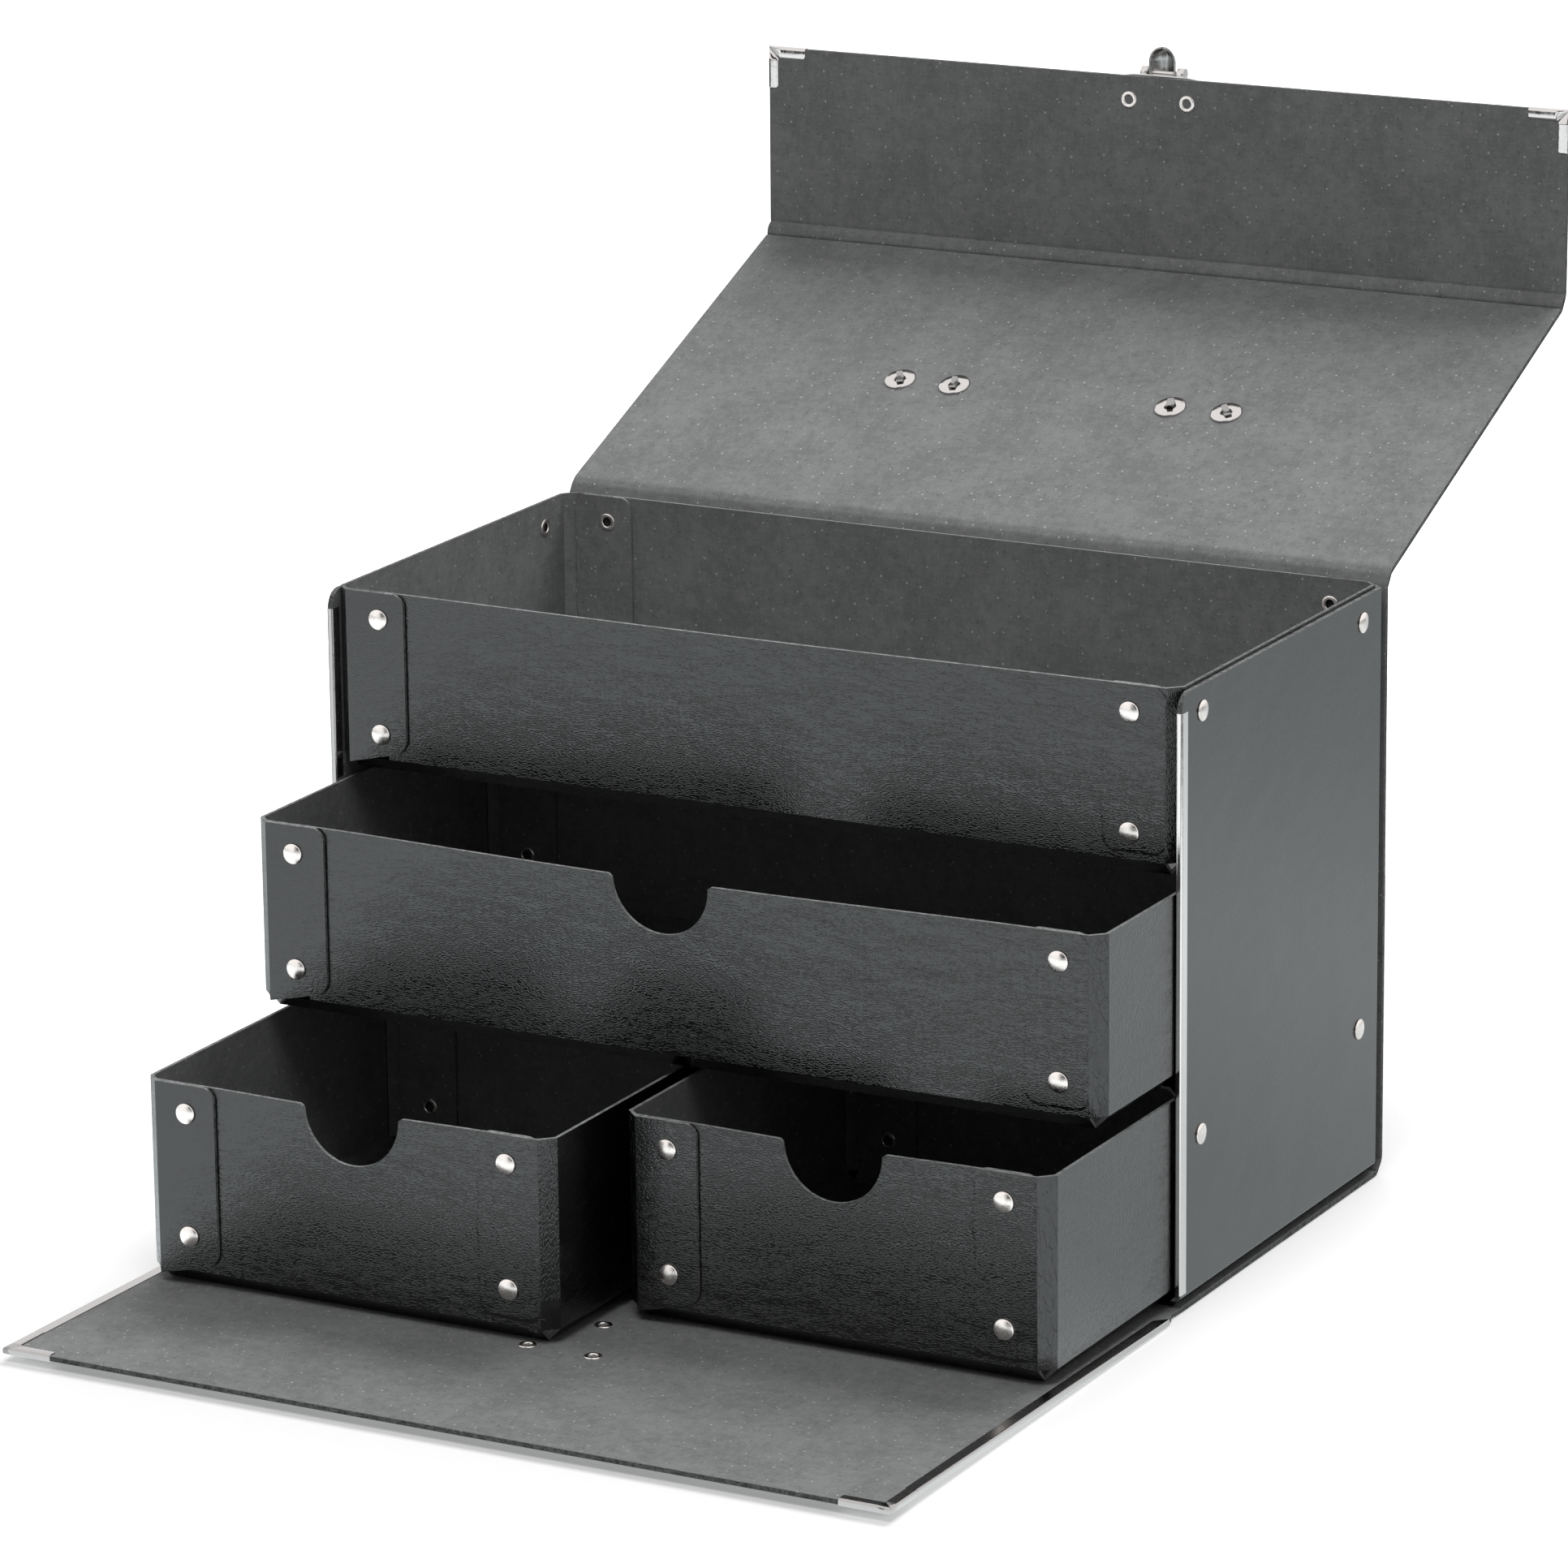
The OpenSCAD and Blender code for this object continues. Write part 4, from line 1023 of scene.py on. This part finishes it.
def tube(bm, path, radius, turns=16):
    """Round wire along the points of path, closed at both ends."""
    rings = []
    up = None
    for k, p in enumerate(path):
        t = (path[min(k + 1, len(path) - 1)] - path[max(k - 1, 0)]).normalized()
        up = t.orthogonal() if up is None else up
        side = t.cross(up).normalized()
        up = side.cross(t).normalized()
        rings.append([bm.verts.new(p + (side * math.cos(2 * math.pi * j / turns)
                                        + up * math.sin(2 * math.pi * j / turns)) * radius * MM)
                      for j in range(turns)])
    for a, b in zip(rings, rings[1:]):
        for j in range(turns):
            bm.faces.new([a[j], a[(j + 1) % turns], b[(j + 1) % turns], b[j]])
    bm.faces.new(rings[0])
    bm.faces.new(list(reversed(rings[-1])))


def wire_brackets():
    """Each bracket: two posts through the lid joined by a bar that carries the grip's eye."""
    bend, low, in_lid, wire_r = 3.0, -6.0, 1.2, 1.6
    for side, x in (("left", -BRACKET_X), ("right", BRACKET_X)):
        first, last = x - BRACKET_HALF, x + BRACKET_HALF
        path = [LID.at(first, POST_V, in_lid), LID.at(first, POST_V, -in_lid)]
        for s in (-1, 1):
            for k in range(7):
                a = math.radians(15 * (k if s < 0 else 6 - k))
                path.append(LID.at(x + s * (BRACKET_HALF - bend * (1 - math.cos(a))), POST_V,
                                   low + bend * (1 - math.sin(a))))
        path += [LID.at(last, POST_V, -in_lid), LID.at(last, POST_V, in_lid)]
        bm = bmesh.new()
        tube(bm, path, wire_r)
        bmesh.ops.recalc_face_normals(bm, faces=bm.faces)
        ob = new_object("handle_wire_" + side, bm, [CHROME])
        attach(ob, "lid")
        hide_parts("handle_%s_bracket" % side)


handle_fixings()
post_ends()
wire_brackets()


# Latch lever: a pressed tongue, hollow towards the liner side, with a rounded tip

def latch_tongue():
    """Rows across the tongue from its heel on the pin to its tip. half is its half width, flare
    what that gains at the heel, lip the height of its rims over the pin."""
    reach, half, flare, lip, wall = 11.4, 5.4, 0.7, 2.2, 0.8
    base_t, pin_up = 0.8, 2.8
    pin_v, pin_w = 75.2, -HALF - base_t - pin_up
    heel, tip = pin_v - 1.7, FLAP_LEN + reach
    rim = pin_w + lip
    centre = tip - half
    vs = [heel, heel + 0.25] + [heel + (centre - heel) * k / 8 for k in range(1, 9)]
    vs += [centre + half * math.sin(math.radians(90 * k / 12)) for k in range(1, 13)]
    columns = 24
    bm = bmesh.new()
    rows = []
    for v in vs:
        t = max(0.0, min((v - centre) / half, 0.9995))
        share = math.sqrt(1 - t * t)
        near_heel = max(0.0, 1 - (v - heel) / 3.0) ** 2
        row = []
        for j in range(columns + 1):
            u = -1 + 2 * j / columns
            bowl = 2 * lip * share ** 0.5 * (1 - u * u)
            rise = 0.9 * near_heel * (1 - u * u)
            x = (half + flare * near_heel) * share * u
            row.append(bm.verts.new(FLAP.at(x, v, rim - bowl + rise)))
        rows.append(row)
    for a, b in zip(rows, rows[1:]):
        for j in range(columns):
            bm.faces.new([a[j], a[j + 1], b[j + 1], b[j]])
    bmesh.ops.recalc_face_normals(bm, faces=bm.faces)
    if sum((f.normal for f in bm.faces), Vector()).dot(FLAP.w) < 0:
        bmesh.ops.reverse_faces(bm, faces=bm.faces)
    ob = new_object("latch_tongue", bm, [STEEL])
    sheet = ob.modifiers.new("sheet", "SOLIDIFY")
    sheet.thickness = wall * MM
    sheet.offset = -1
    soften(ob, "soft", 0.18, 2, 50)
    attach(ob, "latch")
    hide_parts("latch_lever")


latch_tongue()


# The other metal parts keep their CAD solids, with softened edges

def dress(node, material, width, segments):
    ob = frame["nodes"][node]
    ob.data.materials.clear()
    ob.data.materials.append(material)
    weld = ob.modifiers.new("weld", "WELD")
    weld.merge_threshold = 2e-6
    soften(ob, "soft_edges", width, segments, 35).harden_normals = True


dress("right_edge_trim", TRIM, 0.14, 3)
# These trims take the darker copy of the trim metal: painted shade
for n in ("left_edge_trim", "front_panel_left_trim", "front_panel_right_trim"):
    dress(n, TRIM_SHADED, 0.14, 3)
for n in ("latch_base", "catch_plate", "latch_pin"):
    dress(n, CHROME, 0.15, 2)
dress("handle_grip", GRIP, 0.6, 3)


# Floor, world and lamps

FLOOR_HALF, FLOOR_Z = 6.0, -0.0002


def floor():
    """Pale floor: it shows as white to the camera and in reflections, and keeps the shadow.
    Lengths in its material are millimetres from the middle of the box."""
    bm = bmesh.new()
    bm.faces.new([bm.verts.new((x * FLOOR_HALF, y * FLOOR_HALF, FLOOR_Z))
                  for x, y in ((-1, -1), (1, -1), (1, 1), (-1, 1))])
    m = Net("floor")
    p = m.coords(False)
    path = m.add("LightPath")
    seen = path.outputs["Is Camera Ray"]
    tone = m.noise(m.stretch(p, 0.002))
    unseen_tone, seen_tone = [m.mix(tone, (k, k, k, 1), (k + 0.03, k + 0.03, k + 0.03, 1))
                              for k in (0.42, 0.82)]
    m.shade(Base_Color=m.mix(seen, unseen_tone, seen_tone), Roughness=0.9)
    far = m.add("VectorMath", {0: p}, operation="LENGTH").outputs["Value"]
    place = m.add("SeparateXYZ", {0: p})
    back = place.outputs[1]
    aside = m.math("ABSOLUTE", place.outputs[0])

    # Light added for the camera: less of it near the box, where the shadow stays
    # front takes light away in a band in front of the front panel: a painted shadow that widens
    # the real one
    front = m.math("MULTIPLY", m.remap(back, -450, -350, 0.0, 1.0, True),
                   m.remap(back, -325, -300, 1.0, 0.0, True))
    # The aside term adds light beside the box: painted light over the shadow there
    near = m.total((m.remap(far, 380, 900, 0.34, 1.0, True), 1.0),
                   (m.remap(aside, 150, 280, 0.0, 0.22, True), 1.0), (front, -0.09))
    light = m.add("Emission", {"Color": (1, 1, 1, 1), "Strength": m.math("MULTIPLY", seen, near)})
    total = m.add("AddShader")
    m.put(total.inputs[0], m.bsdf.outputs[0])
    m.put(total.inputs[1], light.outputs[0])

    # The floor in reflections: brightest in front of the box, dark beyond the studio's sides
    glare = m.total((m.remap(back, -250, -60, 1.58, 0.9), 1.0),
                    (m.remap(back, 80, 330, 0.0, 0.2), 1.0),
                    (m.remap(back, 400, 750, 0.0, 0.3), -1.0))
    edge = m.math("MULTIPLY", m.remap(aside, 1550, 1700, 1.0, 0.03),
                  m.remap(back, -2500, -2300, 0.03, 1.0))
    shine = m.add("Emission", {"Color": (0.94, 1.0, 1.015, 1),
                               "Strength": m.math("MULTIPLY", glare, edge)})
    mirror = m.math("MAXIMUM", path.outputs["Is Glossy Ray"],
                    path.outputs["Is Transmission Ray"])
    pick = m.add("MixShader", {0: mirror, 1: total.outputs[0], 2: shine.outputs[0]})
    m.put(m.out.inputs[0], pick.outputs[0])
    new_object("floor", bm, [m.mat], smooth=False)


class WorldNet(Net):
    """World shader with the same helpers as a material."""

    def __init__(self, name):
        self.mat = bpy.data.worlds.new(name)
        self.mat.use_nodes = True
        self.tree = self.mat.node_tree
        self.tree.nodes.clear()
        self.out = self.add("OutputWorld")

    def toward(self, way, direction):
        """Cosine of the angle between way and direction."""
        n = self.add("VectorMath", {0: way, 1: Vector(direction).normalized()},
                     operation="DOT_PRODUCT")
        return n.outputs["Value"]


def world():
    """White surround. In reflections it has the dark opening of the studio in front of the box,
    which gives the metal its dark lines. Other surfaces get a soft light from behind."""
    m = WorldNet("studio")
    way = m.add("TexCoord").outputs["Generated"]
    hole = m.remap(m.toward(way, (0.12, -0.96, 0.22)), 0.93, 0.965, 0.0, 1.0, True)
    mirror = m.math("SUBTRACT", 1.3, m.math("MULTIPLY", hole, 1.26))
    path = m.add("LightPath")
    shiny = m.math("MAXIMUM", path.outputs["Is Glossy Ray"], path.outputs["Is Transmission Ray"])
    soft = m.remap(m.toward(way, (0.1, 0.93, 0.36)), -0.1, 0.95, 0.07, 0.4, True)
    strength = m.math("ADD", soft, path.outputs["Is Camera Ray"])
    strength = m.math("MULTIPLY", strength, m.math("SUBTRACT", 1.0, shiny))
    strength = m.math("ADD", strength, m.math("MULTIPLY", shiny, mirror))
    light = m.add("Background", {"Color": (1, 1, 1, 1), "Strength": strength})
    m.put(m.out.inputs[0], light.outputs[0])
    bpy.context.scene.world = m.mat


def lamp(name, at, aim, size, watts):
    data = bpy.data.lights.new(name, "AREA")
    data.shape = "RECTANGLE"
    data.size, data.size_y = size
    data.energy = watts
    ob = bpy.data.objects.new(name, data)
    bpy.context.collection.objects.link(ob)
    ob.location = at
    ob.rotation_mode = "QUATERNION"
    ob.rotation_quaternion = (Vector(aim) - Vector(at)).to_track_quat("-Z", "Y")
    ob.visible_glossy = False


floor()
world()
lamp("top_softbox", (0.05, 1.1, 2.0), (0.0, 0.0, 0.1), (1.8, 1.1), 37)
lamp("front_fill", (0.35, -1.05, 2.1), (0.0, 0.0, 0.15), (1.2, 0.9), 17)
bpy.context.scene.view_settings.view_transform = "Standard"
